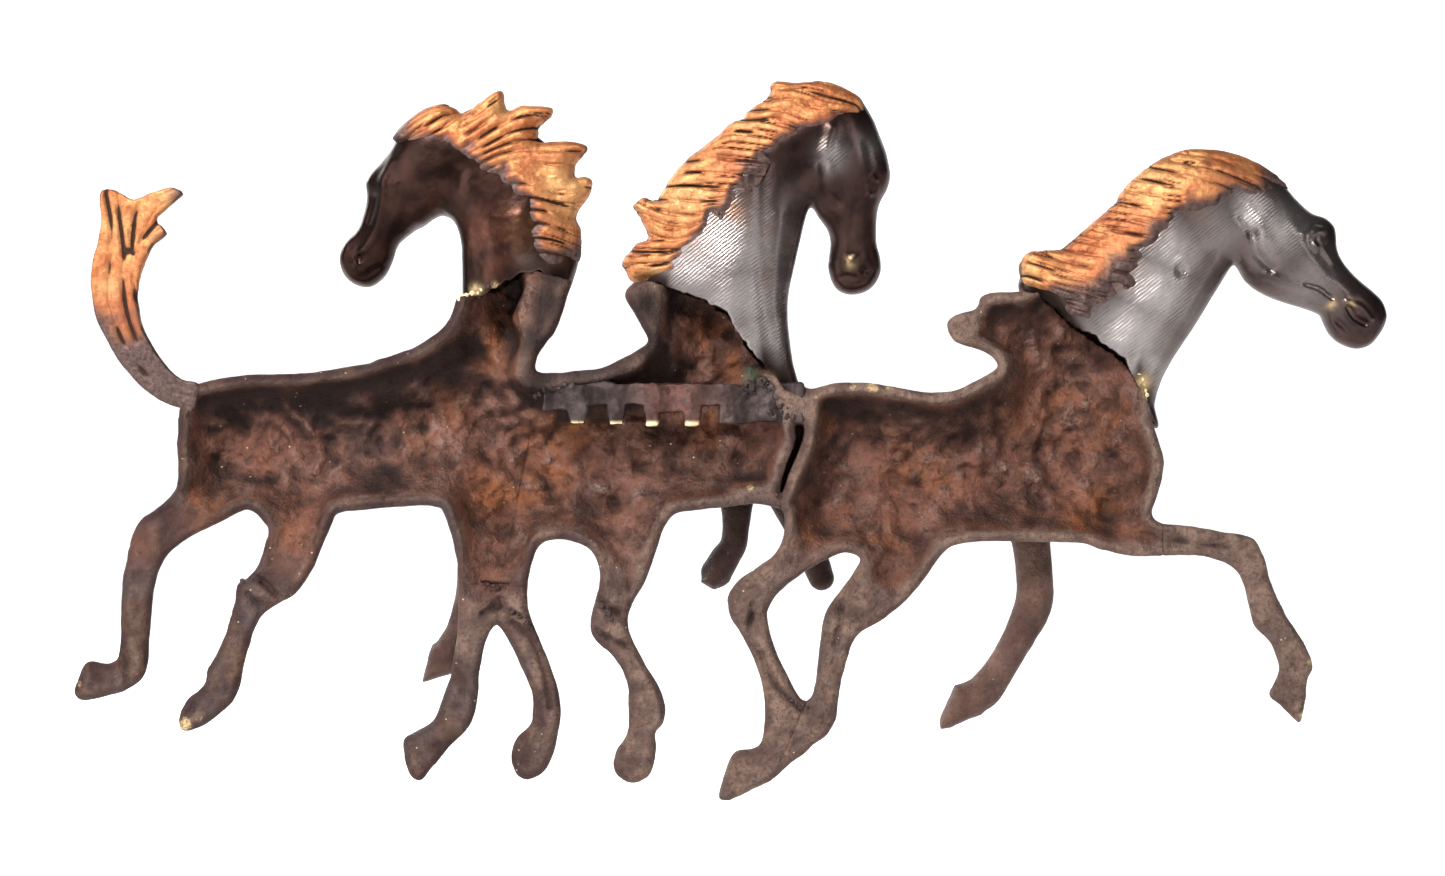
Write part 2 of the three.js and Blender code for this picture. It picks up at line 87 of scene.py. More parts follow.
def grain(x, y, z, size, seed):
    # smooth random field from -1 to 1 with lumps of the given size
    table = np.random.RandomState(seed).uniform(-1, 1, (32, 32, 32)).astype(np.float32)
    total = 0
    whole, part = [], []
    for value in (x, y, z):
        scaled = np.asarray(value, np.float64) / size + 512
        low = np.floor(scaled)
        t = scaled - low
        whole.append(low.astype(np.int64))
        part.append(t * t * (3 - 2 * t))
    for corner in range(8):
        i, j, k = corner & 1, corner >> 1 & 1, corner >> 2
        weight = 1
        for step, t in zip((i, j, k), part):
            weight = weight * (t if step else 1 - t)
        total = total + weight * table[(whole[0] + i) & 31, (whole[1] + j) & 31, (whole[2] + k) & 31]
    return total


class Sheet:
    # a flat grid over part of the x-z plane, on which outlines are turned into relief
    def __init__(self, left, right, low, high, pitch):
        self.pitch = pitch
        self.x = np.arange(left, right, pitch)
        self.z = np.arange(low, high, pitch)
        self.gx, self.gz = np.meshgrid(self.x, self.z, indexing="ij")

    def around(self, ax, az, bx, bz, reach):
        i0, i1 = np.searchsorted(self.x, [min(ax, bx) - reach, max(ax, bx) + reach])
        j0, j1 = np.searchsorted(self.z, [min(az, bz) - reach, max(az, bz) + reach])
        return slice(i0, i1), slice(j0, j1)

    def lineDistance(self, line, reach=40.0, follow=None):
        # distance to a drawn line, and the line's own further columns at the nearest spot
        near = np.full(self.gx.shape, reach, float)
        columns = [np.full(self.gx.shape, line[-1][2 + c], float) for c in range(follow or 0)]
        for a, b in zip(line, line[1:]):
            here = self.around(a[0], a[1], b[0], b[1], reach)
            px, pz = self.gx[here] - a[0], self.gz[here] - a[1]
            vx, vz = b[0] - a[0], b[1] - a[1]
            t = np.clip((px * vx + pz * vz) / max(vx * vx + vz * vz, 1e-9), 0, 1)
            d = np.hypot(px - vx * t, pz - vz * t)
            nearer = d < near[here]
            near[here] = np.where(nearer, d, near[here])
            for c, column in enumerate(columns):
                column[here] = np.where(nearer, a[2 + c] + (b[2 + c] - a[2 + c]) * t, column[here])
        return (near, *columns) if follow else near

    def inside(self, loop):
        a, b = loop, np.roll(loop, -1, axis=0)
        held = np.zeros(self.gx.shape, bool)
        for i, x in enumerate(self.x + 1e-6):
            hit = (a[:, 0] > x) != (b[:, 0] > x)
            if hit.any():
                t = (x - a[hit, 0]) / (b[hit, 0] - a[hit, 0])
                cross = np.sort(a[hit, 1] + t * (b[hit, 1] - a[hit, 1]))
                held[i] = np.searchsorted(cross, self.z) % 2 == 1
        return held

    def depthInside(self, points, reach=40.0, smooth=True):
        # distance to a closed outline, positive inside
        loop = throughPoints(points, True) if smooth else np.array(points, float)
        near = self.lineDistance(np.vstack([loop, loop[:1]]), reach)
        return np.where(self.inside(loop), near, -near)

    def stroke(self, points, width):
        # 1 on a drawn line and fading to 0 over the width; a third column scales the width
        if len(points[0]) > 2:
            d, share = self.lineDistance(throughPoints(points, False), 4 * width, follow=1)
            return np.exp(-(d / (width * np.maximum(share, 0.05))) ** 2)
        return np.exp(-(self.lineDistance(throughPoints(points, False), 4 * width) / width) ** 2)

    def dab(self, x, z, width, height=None, turn=0.0):
        px, pz = self.gx - x, self.gz - z
        c, s = math.cos(turn), math.sin(turn)
        return np.exp(-((px * c + pz * s) / width) ** 2 - ((pz * c - px * s) / (height or width)) ** 2)

    def fromRows(self, rows, columns, softness=1.4):
        # carries the sizes in drawn rows [x, z, half width, sizes...] over the whole sheet
        total = np.full(self.gx.shape, 1e-12)
        sums = [np.zeros(self.gx.shape) for _ in range(columns)]
        for row in rows:
            reach = max(row[2], 4.0)
            near = np.exp(-softness * ((self.gx - row[0]) ** 2 + (self.gz - row[1]) ** 2) / reach ** 2) + 1e-9
            total += near
            for c in range(columns):
                sums[c] += near * row[2 + c]
        return [s / total for s in sums]


def rounded(inset, half):
    # how far out along its section a spot lies: 0 on the middle line, 1 on the outline, more outside
    return np.where(inset > 0, np.clip(1 - inset / half, 0, 1), 1 - inset / half)


def softened(reach, inset, radius, pitch):
    # takes the crease out of the middle of a section and leaves its outline sharp
    profile = np.sqrt(np.clip(1 - np.minimum(reach, 1) ** 2, 0, 1))
    soft = blur(profile, radius, pitch)
    share = ramp(inset, 0.6 * radius, 2.2 * radius)
    return np.where(inset > 0, np.sqrt(np.clip(1 - (profile + (soft - profile) * share) ** 2, 0, 1)), reach)


def section(sheet, ys, reach, half, middle, front, back):
    # distance to a body with oval sections, negative inside
    field = np.empty((len(sheet.x), len(ys), len(sheet.z)), np.float32)
    for j, y in enumerate(ys):
        off = y - middle
        radius = np.where(off > 0, back, front)
        k0 = np.sqrt(reach ** 2 + (off / radius) ** 2) + 1e-6
        k1 = np.sqrt((reach / half) ** 2 + (off / radius ** 2) ** 2) + 1e-6
        field[:, j, :] = k0 * (k0 - 1) / k1
    return field


def blend(a, b, radius):
    # joins two bodies with a fillet
    share = np.clip(0.5 + 0.5 * (b - a) / radius, 0, 1)
    return b + (a - b) * share - radius * share * (1 - share)


def roughen(field, sheet, ys, layers, band=2.0):
    # cast skin: lumps of several sizes, added only near the surface
    i, j, k = np.nonzero(np.abs(field) < band)
    x, y, z = sheet.x[i], ys[j], sheet.z[k]
    extra = sum(height * grain(x, y, z, size, seed) for size, height, seed in layers)
    field[i, j, k] += extra.astype(np.float32)
    return field


def skin(field, sheet, ys):
    # closed quad mesh on the zero level of the field
    field = np.pad(field, 1, constant_values=1.0)
    size = np.array(field.shape) - 1
    pitch = sheet.pitch
    ids, spots, quads = [], [], []
    for axis in range(3):
        low = [slice(None)] * 3
        high = [slice(None)] * 3
        low[axis], high[axis] = slice(None, -1), slice(1, None)
        f0, f1 = field[tuple(low)], field[tuple(high)]
        edge = np.array(np.nonzero((f0 < 0) != (f1 < 0))).T
        a, b = f0[tuple(edge.T)], f1[tuple(edge.T)]
        spot = edge.astype(np.float64)
        spot[:, axis] += a / (a - b)
        u, v = (axis + 1) % 3, (axis + 2) % 3
        ring = []
        for du, dv in ((0, 0), (-1, 0), (-1, -1), (0, -1)):
            cell = edge.copy()
            cell[:, u] += du
            cell[:, v] += dv
            ring.append(np.ravel_multi_index(cell.T, size))
            ids.append(ring[-1])
            spots.append(spot)
        quad = np.stack(ring, 1)
        quads.append(np.where((a < 0)[:, None], quad, quad[:, ::-1]))
    ids, spots, quads = np.concatenate(ids), np.concatenate(spots), np.concatenate(quads)
    used, place = np.unique(ids, return_inverse=True)
    count = np.bincount(place)
    points = np.stack([np.bincount(place, spots[:, c]) / count for c in range(3)], 1)
    origin = np.array([sheet.x[0], ys[0], sheet.z[0]]) - pitch
    return points * pitch + origin, np.searchsorted(used, quads)


def setMarks(mesh, marks):
    # numbers from 0 to 1 at the mesh's points, which the materials read
    for mark, values in marks.items():
        mesh.attributes.new(mark, "FLOAT", "POINT").data.foreach_set("value", values.astype(np.float32))


def meshOf(name, points, quads, marks):
    mesh = bpy.data.meshes.new(name)
    mesh.vertices.add(len(points))
    mesh.vertices.foreach_set("co", (points * mm).astype(np.float32).ravel())
    mesh.loops.add(quads.size)
    mesh.loops.foreach_set("vertex_index", quads.astype(np.int32).ravel())
    mesh.polygons.add(len(quads))
    mesh.polygons.foreach_set("loop_start", np.arange(0, quads.size, 4, dtype=np.int32))
    mesh.polygons.foreach_set("loop_total", np.full(len(quads), 4, np.int32))
    mesh.polygons.foreach_set("use_smooth", np.ones(len(quads), bool))
    mesh.update(calc_edges=True)
    mesh.validate()
    setMarks(mesh, marks)
    piece = bpy.data.objects.new(name, mesh)
    bpy.context.scene.collection.objects.link(piece)
    print("made", name, len(points), "points", 2 * len(quads), "triangles")
    return piece


def sampled(sheet, values, points):
    # reads a drawing on the sheet at the mesh's points
    i = np.clip((points[:, 0] - sheet.x[0]) / sheet.pitch, 0, len(sheet.x) - 1.001)
    k = np.clip((points[:, 2] - sheet.z[0]) / sheet.pitch, 0, len(sheet.z) - 1.001)
    i0, k0 = i.astype(int), k.astype(int)
    fi, fz = i - i0, k - k0
    return ((values[i0, k0] * (1 - fi) + values[i0 + 1, k0] * fi) * (1 - fz)
            + (values[i0, k0 + 1] * (1 - fi) + values[i0 + 1, k0 + 1] * fi) * fz)


# The hollow castings that lie on the wall: back, belly and leg lines of the three trunks and their
# flat-backed legs, drawn in one closed run.
backLine = [
    [186, -1], [183.5, 4.5], [180, 7.5], [170, 9.8], [160, 10.8], [145, 11.2], [130, 13], [118, 15.6],
    [105, 20],
    [95, 26], [91.5, 30.5], [89.6, 36], [87.5, 43], [84, 52], [70, 57], [54, 54], [48, 46.5], [50, 38],
    [54, 26], [57, 22.2], [60, 18], [61.2, 13.6], [59.5, 11.6], [52, 11.6], [45, 12.4], [38, 13.2],
    [30, 17.1],
    [25, 19.8], [21.8, 22.6], [24.5, 28], [28, 34], [30, 38.2], [29, 41], [27, 43], [21, 48], [8, 56],
    [-13, 53], [-27, 37], [-32, 20], [-31.4, 9], [-35, 6], [-40, 7], [-45, 8], [-55, 8], [-65, 6.4],
    [-75, 4.8], [-85, 5], [-92, 8], [-98.5, 11.5], [-100.8, 14.3], [-96, 18.6], [-88, 21.2], [-84.5, 23.5],
    [-83, 28.5], [-85.8, 31.5], [-93.2, 34], [-95, 38], [-100, 39.5], [-110, 40.2], [-119, 45],
    [-131, 46], [-148, 36], [-157.5, 18], [-155.8, 5], [-154.8, -4],
]
chestAndForeleg = [
    [-157, -11], [-159.2, -18], [-159, -25], [-156.5, -34], [-155.6, -38.5], [-159, -41.4], [-170, -42.5],
    [-180, -44.4], [-188, -45.6], [-192.2, -48.4], [-195, -54], [-197.4, -63], [-202, -73], [-208, -82.5],
    [-211, -88.4], [-211.4, -92.5], [-209.6, -97], [-209, -104], [-207.4, -111.4], [-205.4, -110.8],
    [-200, -105.5], [-196.2, -102], [-198, -97.4], [-199.5, -93], [-198.5, -88], [-196, -83], [-191, -77.8],
    [-189, -70], [-187, -62.4], [-183.4, -57.2], [-176, -54], [-168, -53], [-156, -53.2], [-147, -53.2],
    [-138, -51.2], [-130, -48.8], [-112, -48.2], [-95, -48.1], [-85, -49.8],
]
leadingHindLegs = [
    [-80, -54.6], [-75, -61.5], [-68, -69.6], [-60, -76], [-53.2, -79.8], [-50.4, -83.4], [-48, -90.4],
    [-46, -98.4], [-45, -107], [-44.2, -111.4], [-41, -116], [-37, -119.2], [-34, -122], [-29, -125.4],
    [-24, -130], [-20, -133], [-10, -137.8], [-5.4, -139], [-3, -138], [-4, -132.4], [-7, -124],
    [-9.8, -121], [-15, -120.4], [-17.6, -118.6], [-18.6, -114], [-19, -107], [-18, -98], [-15, -89],
    [-10.4, -80], [-6.6, -73.6], [-6, -67.4], [-9.4, -62], [-16, -57.2], [-21.6, -53.2], [-25, -48.2],
    [-26, -42.4], [-25.4, -37.4],
]
hindLegWindow = [
    [-52.5, -54], [-49, -52.2], [-45, -52.6], [-35, -57.6], [-25, -65.2], [-21, -71], [-20.6, -76],
    [-23, -85], [-27, -94], [-30.4, -100.6], [-33, -103.6], [-36, -101.4], [-37.4, -92], [-38.4, -83],
    [-40.2, -73], [-45, -66], [-51, -57.6],
]
middleLegs = [
    [-22, -35.8], [-15, -34.8], [-5, -36], [5, -37.2], [12, -38.4], [16, -43], [18.4, -50], [22.2, -61],
    [27, -69.8], [28.4, -74], [28.4, -77.4], [27, -82], [23, -90], [18, -98.4], [15.4, -105], [16, -111.6],
    [19, -115.2], [18.6, -120], [19.4, -126], [21.4, -130.2], [25, -132.6], [29, -132.6], [32.6, -130.2],
    [34, -126], [33, -121], [30.2, -117], [29, -112], [29, -100], [31, -93], [34.4, -88.2], [39, -84],
    [41.8, -80.4], [42.2, -76], [41, -70], [39.2, -64], [39, -58], [41, -52.4], [45.4, -49], [53, -47.4],
    [59.6, -49.4], [62.6, -57], [64, -66], [63, -73.4], [60, -81.2], [56, -91], [53, -100], [52, -107],
    [53, -115], [54.6, -122], [57, -127.2], [60, -130.2], [64, -131.6], [67.6, -130.2], [69.6, -126],
    [69.6, -121], [67.8, -116.4], [63.4, -112], [62.4, -106], [63, -100], [66, -93], [70, -84.6],
    [74.6, -77.4], [78, -82], [80.4, -92], [81, -100], [82, -107], [84, -112.4], [87, -116], [91, -120],
    [97, -127], [101, -131.6], [103.8, -131.6], [106, -129], [107.6, -122], [107.6, -117], [104, -114.6],
    [99, -112], [96.4, -109], [94, -103], [91.2, -94], [89, -80], [88.4, -70], [88.5, -60], [90, -49.5],
    [93.4, -38.4], [96.4, -35.8], [108, -35.8], [120, -36.8], [130, -38.2],
]
trailingHindLegs = [
    [132.4, -41.6], [136, -50], [140, -59], [145, -66], [151, -69.8], [157, -74], [160, -80], [163, -90],
    [164.8, -99], [168, -105], [173, -109.4], [178, -112.8], [183, -114.6], [186, -113.6], [186.2, -109],
    [183.4, -103], [180, -100.4], [177.4, -97.6], [176.6, -92.6], [174.4, -89], [170.2, -80], [167, -69],
    [166, -62.8], [162.4, -60.2], [158.4, -55.6], [155.4, -45], [156.8, -41], [161, -37.2], [164.6, -37.6],
    [170, -40.4], [180, -45.2], [186, -49], [191, -54], [194.8, -64], [196.4, -80], [197, -90], [199, -96],
    [204, -99.8], [210, -102], [219, -103.8], [222, -103], [223, -100], [220.4, -92.4], [217.8, -89.8],
    [213, -90.4], [209.6, -90], [207.2, -86], [206.6, -65], [205, -55], [203, -46.4], [200, -40],
    [195.4, -37], [190, -32.4], [187, -27], [187, -14], [186.6, -4],
]
chestSlot = [[-29.6, -6.6], [-33.2, -6.8], [-33.4, -11], [-31, -18], [-28, -25], [-25.6, -31.4],
             [-24.2, -31], [-25, -25], [-27.4, -18], [-29.4, -12]]

# Sizes of the castings along their bodies and limbs: [x, z, half width, depth, hollow].
castingSizes = [
    [182, -12, 18, 24, 17], [165, -13, 24, 27, 21], [140, -13, 24.5, 25, 19], [118, -10.5, 26, 25, 20],
    [100, -6.5, 29, 27, 22], [82, -7, 34, 27, 22], [62, -12, 30, 27, 21], [48, -14, 28, 27, 21],
    [78, 14, 18, 26, 21], [71, 30, 18, 25, 20], [67, 46, 19, 24, 18],
    [80, -30, 17, 26, 19], [80, -46, 10, 19, 12], [80, -58, 8, 13, 6],
    [172, -24, 14, 19, 12], [184, -38, 10.5, 16, 4.5], [194, -48, 8.5, 12, 0.4], [200, -60, 6.2, 9, 0],
    [201.5, -78, 5.2, 9, 0], [203, -91, 5.8, 9, 0], [210, -96.5, 6.2, 11, 0], [219, -97, 6.4, 12, 0],
    [146, -25, 14, 19, 15], [146, -44, 11, 15, 10], [150, -57, 9.5, 13, 5.5], [160, -69, 6.6, 9, 0.6],
    [166, -83, 5.4, 9, 0], [170, -95, 6.1, 9, 0], [176, -103, 6.4, 11, 0], [182, -109, 6.4, 12, 0],
    [82.5, -76, 6.2, 9, 0.6], [85.5, -92, 5.1, 9, 0], [88.5, -104, 6.6, 9, 0], [92.5, -113, 6.9, 11, 0],
    [99, -119.5, 7.2, 12, 0], [103, -125, 7.6, 12, 0],
    [27, -13, 29, 27, 21], [8, -11, 27, 27, 21], [-9, -12, 22, 26, 19], [-20, -14, 15, 22, 14],
    [2, 8, 26, 27, 23], [-2, 24, 28, 26, 22], [-4, 42, 28, 24, 20],
    [66, -30, 16, 24, 17], [67.5, -48, 9, 16, 9], [68.6, -62, 5.8, 11, 2.4], [67.5, -75, 5.6, 9, 0],
    [62.5, -90, 5, 9, 0], [58, -102, 5.2, 9, 0], [58, -113, 5.5, 10, 0], [61, -122, 7.6, 12, 0],
    [30, -22, 18, 24, 17], [29, -44, 12.5, 19, 11], [30.5, -57, 9, 13, 4.5], [33.5, -70, 7, 10, 0.8],
    [35, -78, 6.8, 9, 0], [30, -88, 5.3, 9, 0], [24.5, -98, 5.4, 9, 0], [22.5, -109, 6.4, 9, 0],
    [24.5, -118, 6.4, 10, 0], [26.5, -126, 7.6, 12, 0],
    [-38, -20, 18, 24, 17], [-52, -21, 28, 27, 21], [-72, -21.5, 26.5, 26, 20], [-90, -21.5, 27, 26, 20],
    [-110, -17, 31, 27, 22], [-130, -20, 32, 27, 22], [-146, -22, 24, 25, 20], [-124, 0, 29, 27, 22],
    [-132, 17, 28, 26, 21], [-138, 30, 24, 24, 18], [-116, 25, 14, 20, 14], [-103, 27, 9.5, 15, 9],
    [-91, 27.5, 6.5, 10, 3],
    [-44, -36, 13, 21, 14], [-34, -50, 9, 16, 6], [-23, -58, 7, 12, 1.6], [-13.5, -68, 7.2, 9, 0],
    [-15.5, -80, 6, 9, 0], [-19.5, -89, 5, 9, 0], [-23.5, -99, 5.4, 9, 0], [-24.5, -109, 6.4, 10, 0],
    [-20, -119, 8.4, 12, 0], [-12, -127, 9, 12, 0], [-6, -131, 8, 11, 0],
    [-66, -36, 16, 22, 15], [-63, -54, 11.5, 17, 8], [-55, -68, 8.6, 12, 3], [-46, -81, 6.2, 9, 0],
    [-42.5, -93, 5.1, 9, 0], [-41, -103, 5, 9, 0], [-37, -112, 6, 9, 0],
    [-138, -38, 12, 19, 12], [-149, -45, 8, 14, 4], [-161, -47.3, 5.8, 10, 0.4], [-172, -48.3, 5.3, 9, 0],
    [-185, -51, 5.6, 9, 0], [-191, -58, 5.4, 9, 0], [-194, -68, 5, 9, 0], [-199, -79, 5.8, 9, 0],
    [-205, -90, 6.3, 10, 0], [-204, -99, 5.4, 10, 0], [-203, -106, 5.4, 12, 0],
]
casting = {"pitch": 0.7, "span": (-216, 227, -142, 61), "layers": (-30.0, 1.3), "rim": 3.9, "legRim": 1.6,
           "wall": 3.0, "bowl": 0.72, "legBowl": 1.15, "frontSoftness": 2.4, "bowlSoftness": 3.0, "edge": 0.9,
           "overlap": 0.3, "slotTrim": 0.5, "slotDepth": 15.0}

flat = Sheet(*casting["span"], casting["pitch"])
flatY = np.arange(*casting["layers"], casting["pitch"])
outline = backLine + chestAndForeleg + leadingHindLegs + middleLegs + trailingHindLegs
silhouette = np.minimum(flat.depthInside(outline), -flat.depthInside(hindLegWindow))
slot = flat.depthInside(chestSlot) - casting["slotTrim"]
inset = np.minimum(silhouette, -slot)
castHalf, castDepth, castHollow = flat.fromRows(castingSizes, 3)
reach = softened(rounded(silhouette, castHalf), silhouette, casting["frontSoftness"], flat.pitch)
print("castings drawn")

# Solid places beside the rims: [outline, how much of the hollow is filled].
filled = [
    ([[64, 50], [66, 41], [69, 31], [66.4, 22], [69.4, 13], [67, 6.5], [60, 4.6], [52, 8], [50, 30],
      [44, 50]], 0.8),
    ([[28, 46], [16.5, 42], [16.4, 32], [18.6, 22], [24, 13.6], [32, 9.4], [60, 6], [60, 16], [24, 22]],
     0.86),
    ([[-18, 12], [-20, 6], [-24, -3], [-29, -5.5], [-38, -5], [-36, 10]], 1.0),
    ([[-9, -30], [-14, -28], [-20, -27.5], [-24, -26], [-26, -40], [-9, -40]], 1.0),
]
# on the trunks the rim is wide and the bowl steep, on the thighs the hollow runs out gently to the edge
onTrunk = ramp(castHollow, 6, 17)
rimWidth = casting["legRim"] + (casting["rim"] - casting["legRim"]) * onTrunk
castHollow = castHollow * (0.5 + 0.5 * onTrunk)
inner = np.clip(1 - (inset - rimWidth) / np.maximum(castHalf - rimWidth, 1.0), 0, 1)
inner = softened(inner, inset - rimWidth, casting["bowlSoftness"], flat.pitch)
steepness = casting["legBowl"] + (casting["bowl"] - casting["legBowl"]) * onTrunk
bowl = (1 - np.minimum(inner, 1) ** 2) ** steepness
bowl *= inset > rimWidth
for shape, amount in filled:
    bowl *= 1 - amount * ramp(flat.depthInside(shape), -2.6, 1.6)
bowl = blur(bowl, 0.7, flat.pitch) * ramp(inset, rimWidth - 2, rimWidth)
castHollow = np.clip(castHollow - 0.6, 0, None)

# Lumps and creases left by the core: [points with a width share, width, height]. Above 0 they stand
# out of the hollow.
coreMarks = [
    ([[150, -2, 1], [143, -8, 1], [139, -16, 1], [141, -24, .6]], 2.2, 2.2),
    ([[158, -4, 1], [151, -9, 1], [148, -17, 1]], 1.8, 1.4),
    ([[174, -12, 1], [166, -15, 1], [158, -14, 1]], 5.0, 3.0),
    ([[176, -20, 1], [168, -25, 1], [157, -26, .7]], 3.0, -2.0),
    ([[128, 2, 1], [117, 4, 1], [104, 7, .8]], 3.2, 2.0),
    ([[122, -4, 1], [112, -2, 1], [100, -1, .8]], 2.4, -1.6),
    ([[108, -14, 1], [100, -12, 1], [94, -8, 1]], 4.2, 2.0),
    ([[78, 26, 1], [75, 12, 1], [70, 2, 1]], 3.6, 2.6),
    ([[84, 20, 1], [82, 8, 1]], 3.4, -2.0),
    ([[96, -16, 1], [88, -20, 1], [78, -22, 1]], 4.0, 2.4),
    ([[76, -26, 1], [68, -29, 1], [60, -28, .7]], 2.6, 2.4),
    ([[66, -20, 1], [60, -25, 1], [56, -33, 1]], 2.4, -1.8),
    ([[52, -22, 1], [44, -27, 1], [36, -26, 1]], 2.2, 1.8),
    ([[46, -18, 1], [38, -20, 1], [30, -17, 1]], 2.4, -1.4),
    ([[38, -30, 1], [28, -27, 1], [16, -28, .8]], 2.4, 1.8),
    ([[20, -14, 1], [6, -15, 1], [-8, -13, 1]], 6.0, 2.6),
    ([[52, -36, 1], [44, -34, 1], [34, -35, 1]], 2.2, -1.4),
    ([[-64, -20, 1], [-80, -24, 1], [-98, -20, 1], [-110, -24, 1]], 6.5, 3.4),
    ([[-98, -14, 1], [-104, -20, 1], [-100, -27, 1]], 2.4, 1.4),
    ([[-118, -16, 1], [-122, -26, 1], [-118, -33, 1]], 3.4, -2.4),
    ([[-128, -6, 1], [-134, -16, 1], [-132, -28, 1]], 5.0, 2.2),
    ([[-58, -34, 1], [-66, -31, 1], [-74, -34, 1]], 2.6, 1.8),
    ([[-108, 26, 1], [-116, 20, 1], [-122, 10, 1]], 4.0, 2.4),
]
core = sum(height * flat.stroke(points, width) for points, width, height in coreMarks)
core += 2.2 * grain(flat.gx, 0, flat.gz, 13.0, 3) + 1.5 * grain(flat.gx, 0, flat.gz, 6.5, 4)
core += 1.05 * grain(flat.gx, 0, flat.gz, 3.2, 5) + 0.45 * grain(flat.gx, 0, flat.gz, 1.5, 6)
hollowDepth = bowl * np.clip(castHollow - core * ramp(castHollow, 0, 14), 0, None)
frontProfile = castDepth * np.sqrt(np.clip(1 - np.minimum(reach, 1) ** 2, 0, 1))
hollowDepth = np.minimum(hollowDepth, np.clip(frontProfile - casting["wall"], 0, None))
hollowDepth = np.clip(hollowDepth, 0, None)
# the cast rims and leg backs are rounded off and a little uneven
hollowDepth += 1.1 * np.exp(-(np.maximum(inset, 0) / 1.3) ** 2)
hollowDepth += (0.75 * np.clip(grain(flat.gx, 0, flat.gz, 5.0, 12) + 0.35, 0, None)
                + 0.34 * np.clip(grain(flat.gx, 0, flat.gz, 1.9, 13), 0, None))

# Cracks, tendons and casting wrinkles on the flat backs of the legs, as above but with a depth.
legMarks = [
    ([[80, -62.2, .5], [75, -63.4, 1], [70.4, -62.6, .5]], 0.9, 1.3),
    ([[79, -57, .5], [75, -55.6, 1], [71, -57.4, .5]], 1.2, .6),
    ([[78, -68, .8], [72, -66, 1], [66, -70, .8]], 1.8, -.9),
    ([[80, -73, .6], [74, -71, 1], [66, -74, .8]], 1.2, .9),
    ([[69, -76, 1], [62, -82, 1], [58, -92, 1], [56, -106, .8]], 1.4, .9),
    ([[66, -84, 1], [61, -94, 1]], 1.2, -.5),
    ([[42, -66, .8], [35, -71, 1], [28, -75, 1]], 1.5, 1.0),
    ([[40, -73, 1], [34, -77, 1], [28, -79, .8]], 1.3, -.9),
    ([[40, -79, .7], [33, -83, 1], [27, -85, .8]], 1.2, .8),
    ([[34, -50, .8], [29, -57, 1], [28, -65, .8]], 1.6, .8),
    ([[166, -58, .7], [158, -61, 1], [152, -67, 1]], 1.3, .9),
    ([[162, -66, .8], [155, -73, 1], [152, -80, .6]], 1.4, .8),
    ([[26, -88, .8], [20, -99, 1], [16, -112, .8]], 1.5, -.8),
    ([[-18, -87, .8], [-22, -97, 1], [-32, -107, .7]], 1.4, 1.0),
    ([[-15, -70, .7], [-14, -84, 1], [-20, -99, .8]], 1.5, .7),
    ([[-146, -45, .7], [-163, -48, 1], [-182, -50, .7]], 1.5, .7),
    ([[205, -62, .7], [206, -80, 1], [204, -100, .7]], 1.6, .7),
    ([[176, -92, .7], [180, -104, 1], [186, -112, .7]], 1.4, .7),
    ([[190, -36, .7], [200, -42, 1], [206, -50, .7]], 2.0, .7),
    ([[-40, -60, .7], [-46, -72, 1], [-44, -84, .7]], 1.6, .7),
]
legMarkGain = 1.5
legRelief = sum(height * flat.stroke(points, width) for points, width, height in legMarks)
hollowDepth += legRelief * legMarkGain * ramp(inset, 0.5, 3.0)
hollowDepth = np.clip(hollowDepth, 0, None)

# Muscles on the relief side: [points with a width share, width, height].
reliefMarks = [
    ([[176, -8, 1], [168, -20, 1]], 9.0, 1.8), ([[154, -8, 1], [150, -28, .8]], 8.0, 1.4),
    ([[84, -6, 1], [80, -28, .9]], 8.0, 1.8),
    ([[104, -24, 1], [122, -26, 1]], 5.0, -1.2), ([[92, 10, 1], [80, 26, 1]], 5.0, 1.2),
    ([[66, -10, 1], [64, -34, .8]], 8.0, 1.8),
    ([[34, -10, 1], [30, -34, .9]], 8.0, 1.6), ([[2, -24, 1], [18, -28, 1]], 5.0, -1.2),
    ([[-14, -6, 1], [-12, -22, 1]], 6.0, 1.4),
    ([[-50, -8, 1], [-48, -32, 1]], 9.0, 2.0), ([[-70, -12, 1], [-68, -36, .9]], 8.0, 1.2),
    ([[-84, -34, 1], [-104, -38, 1]], 5.0, -1.2),
    ([[-134, -2, 1], [-140, -28, .9]], 9.0, 2.0), ([[-120, 10, 1], [-132, 28, 1]], 6.0, 1.0),
    ([[-118, -20, 1], [-114, -36, .8]], 6.0, 1.0),
]
castDepth = castDepth + sum(height * flat.stroke(points, width) for points, width, height in reliefMarks)
castDepth += 0.5 * grain(flat.gx, 0, flat.gz, 9.0, 8) + 0.25 * grain(flat.gx, 0, flat.gz, 3.0, 9)

shell = section(flat, flatY, reach, castHalf, 0.0, castDepth, castDepth)
steep = np.sqrt(1 + sum(g ** 2 for g in np.gradient(hollowDepth, flat.pitch)))
for j, y in enumerate(flatY):
    floor = ((y + hollowDepth) / steep).astype(np.float32)
    shell[:, j, :] = -blend(-shell[:, j, :], -floor, casting["edge"])
    shell[:, j, :] = np.maximum(shell[:, j, :], np.minimum(slot, y + casting["slotDepth"]))
shell = roughen(shell, flat, flatY, [(4.0, 0.16, 21), (1.7, 0.09, 22)])
print("castings sculpted")

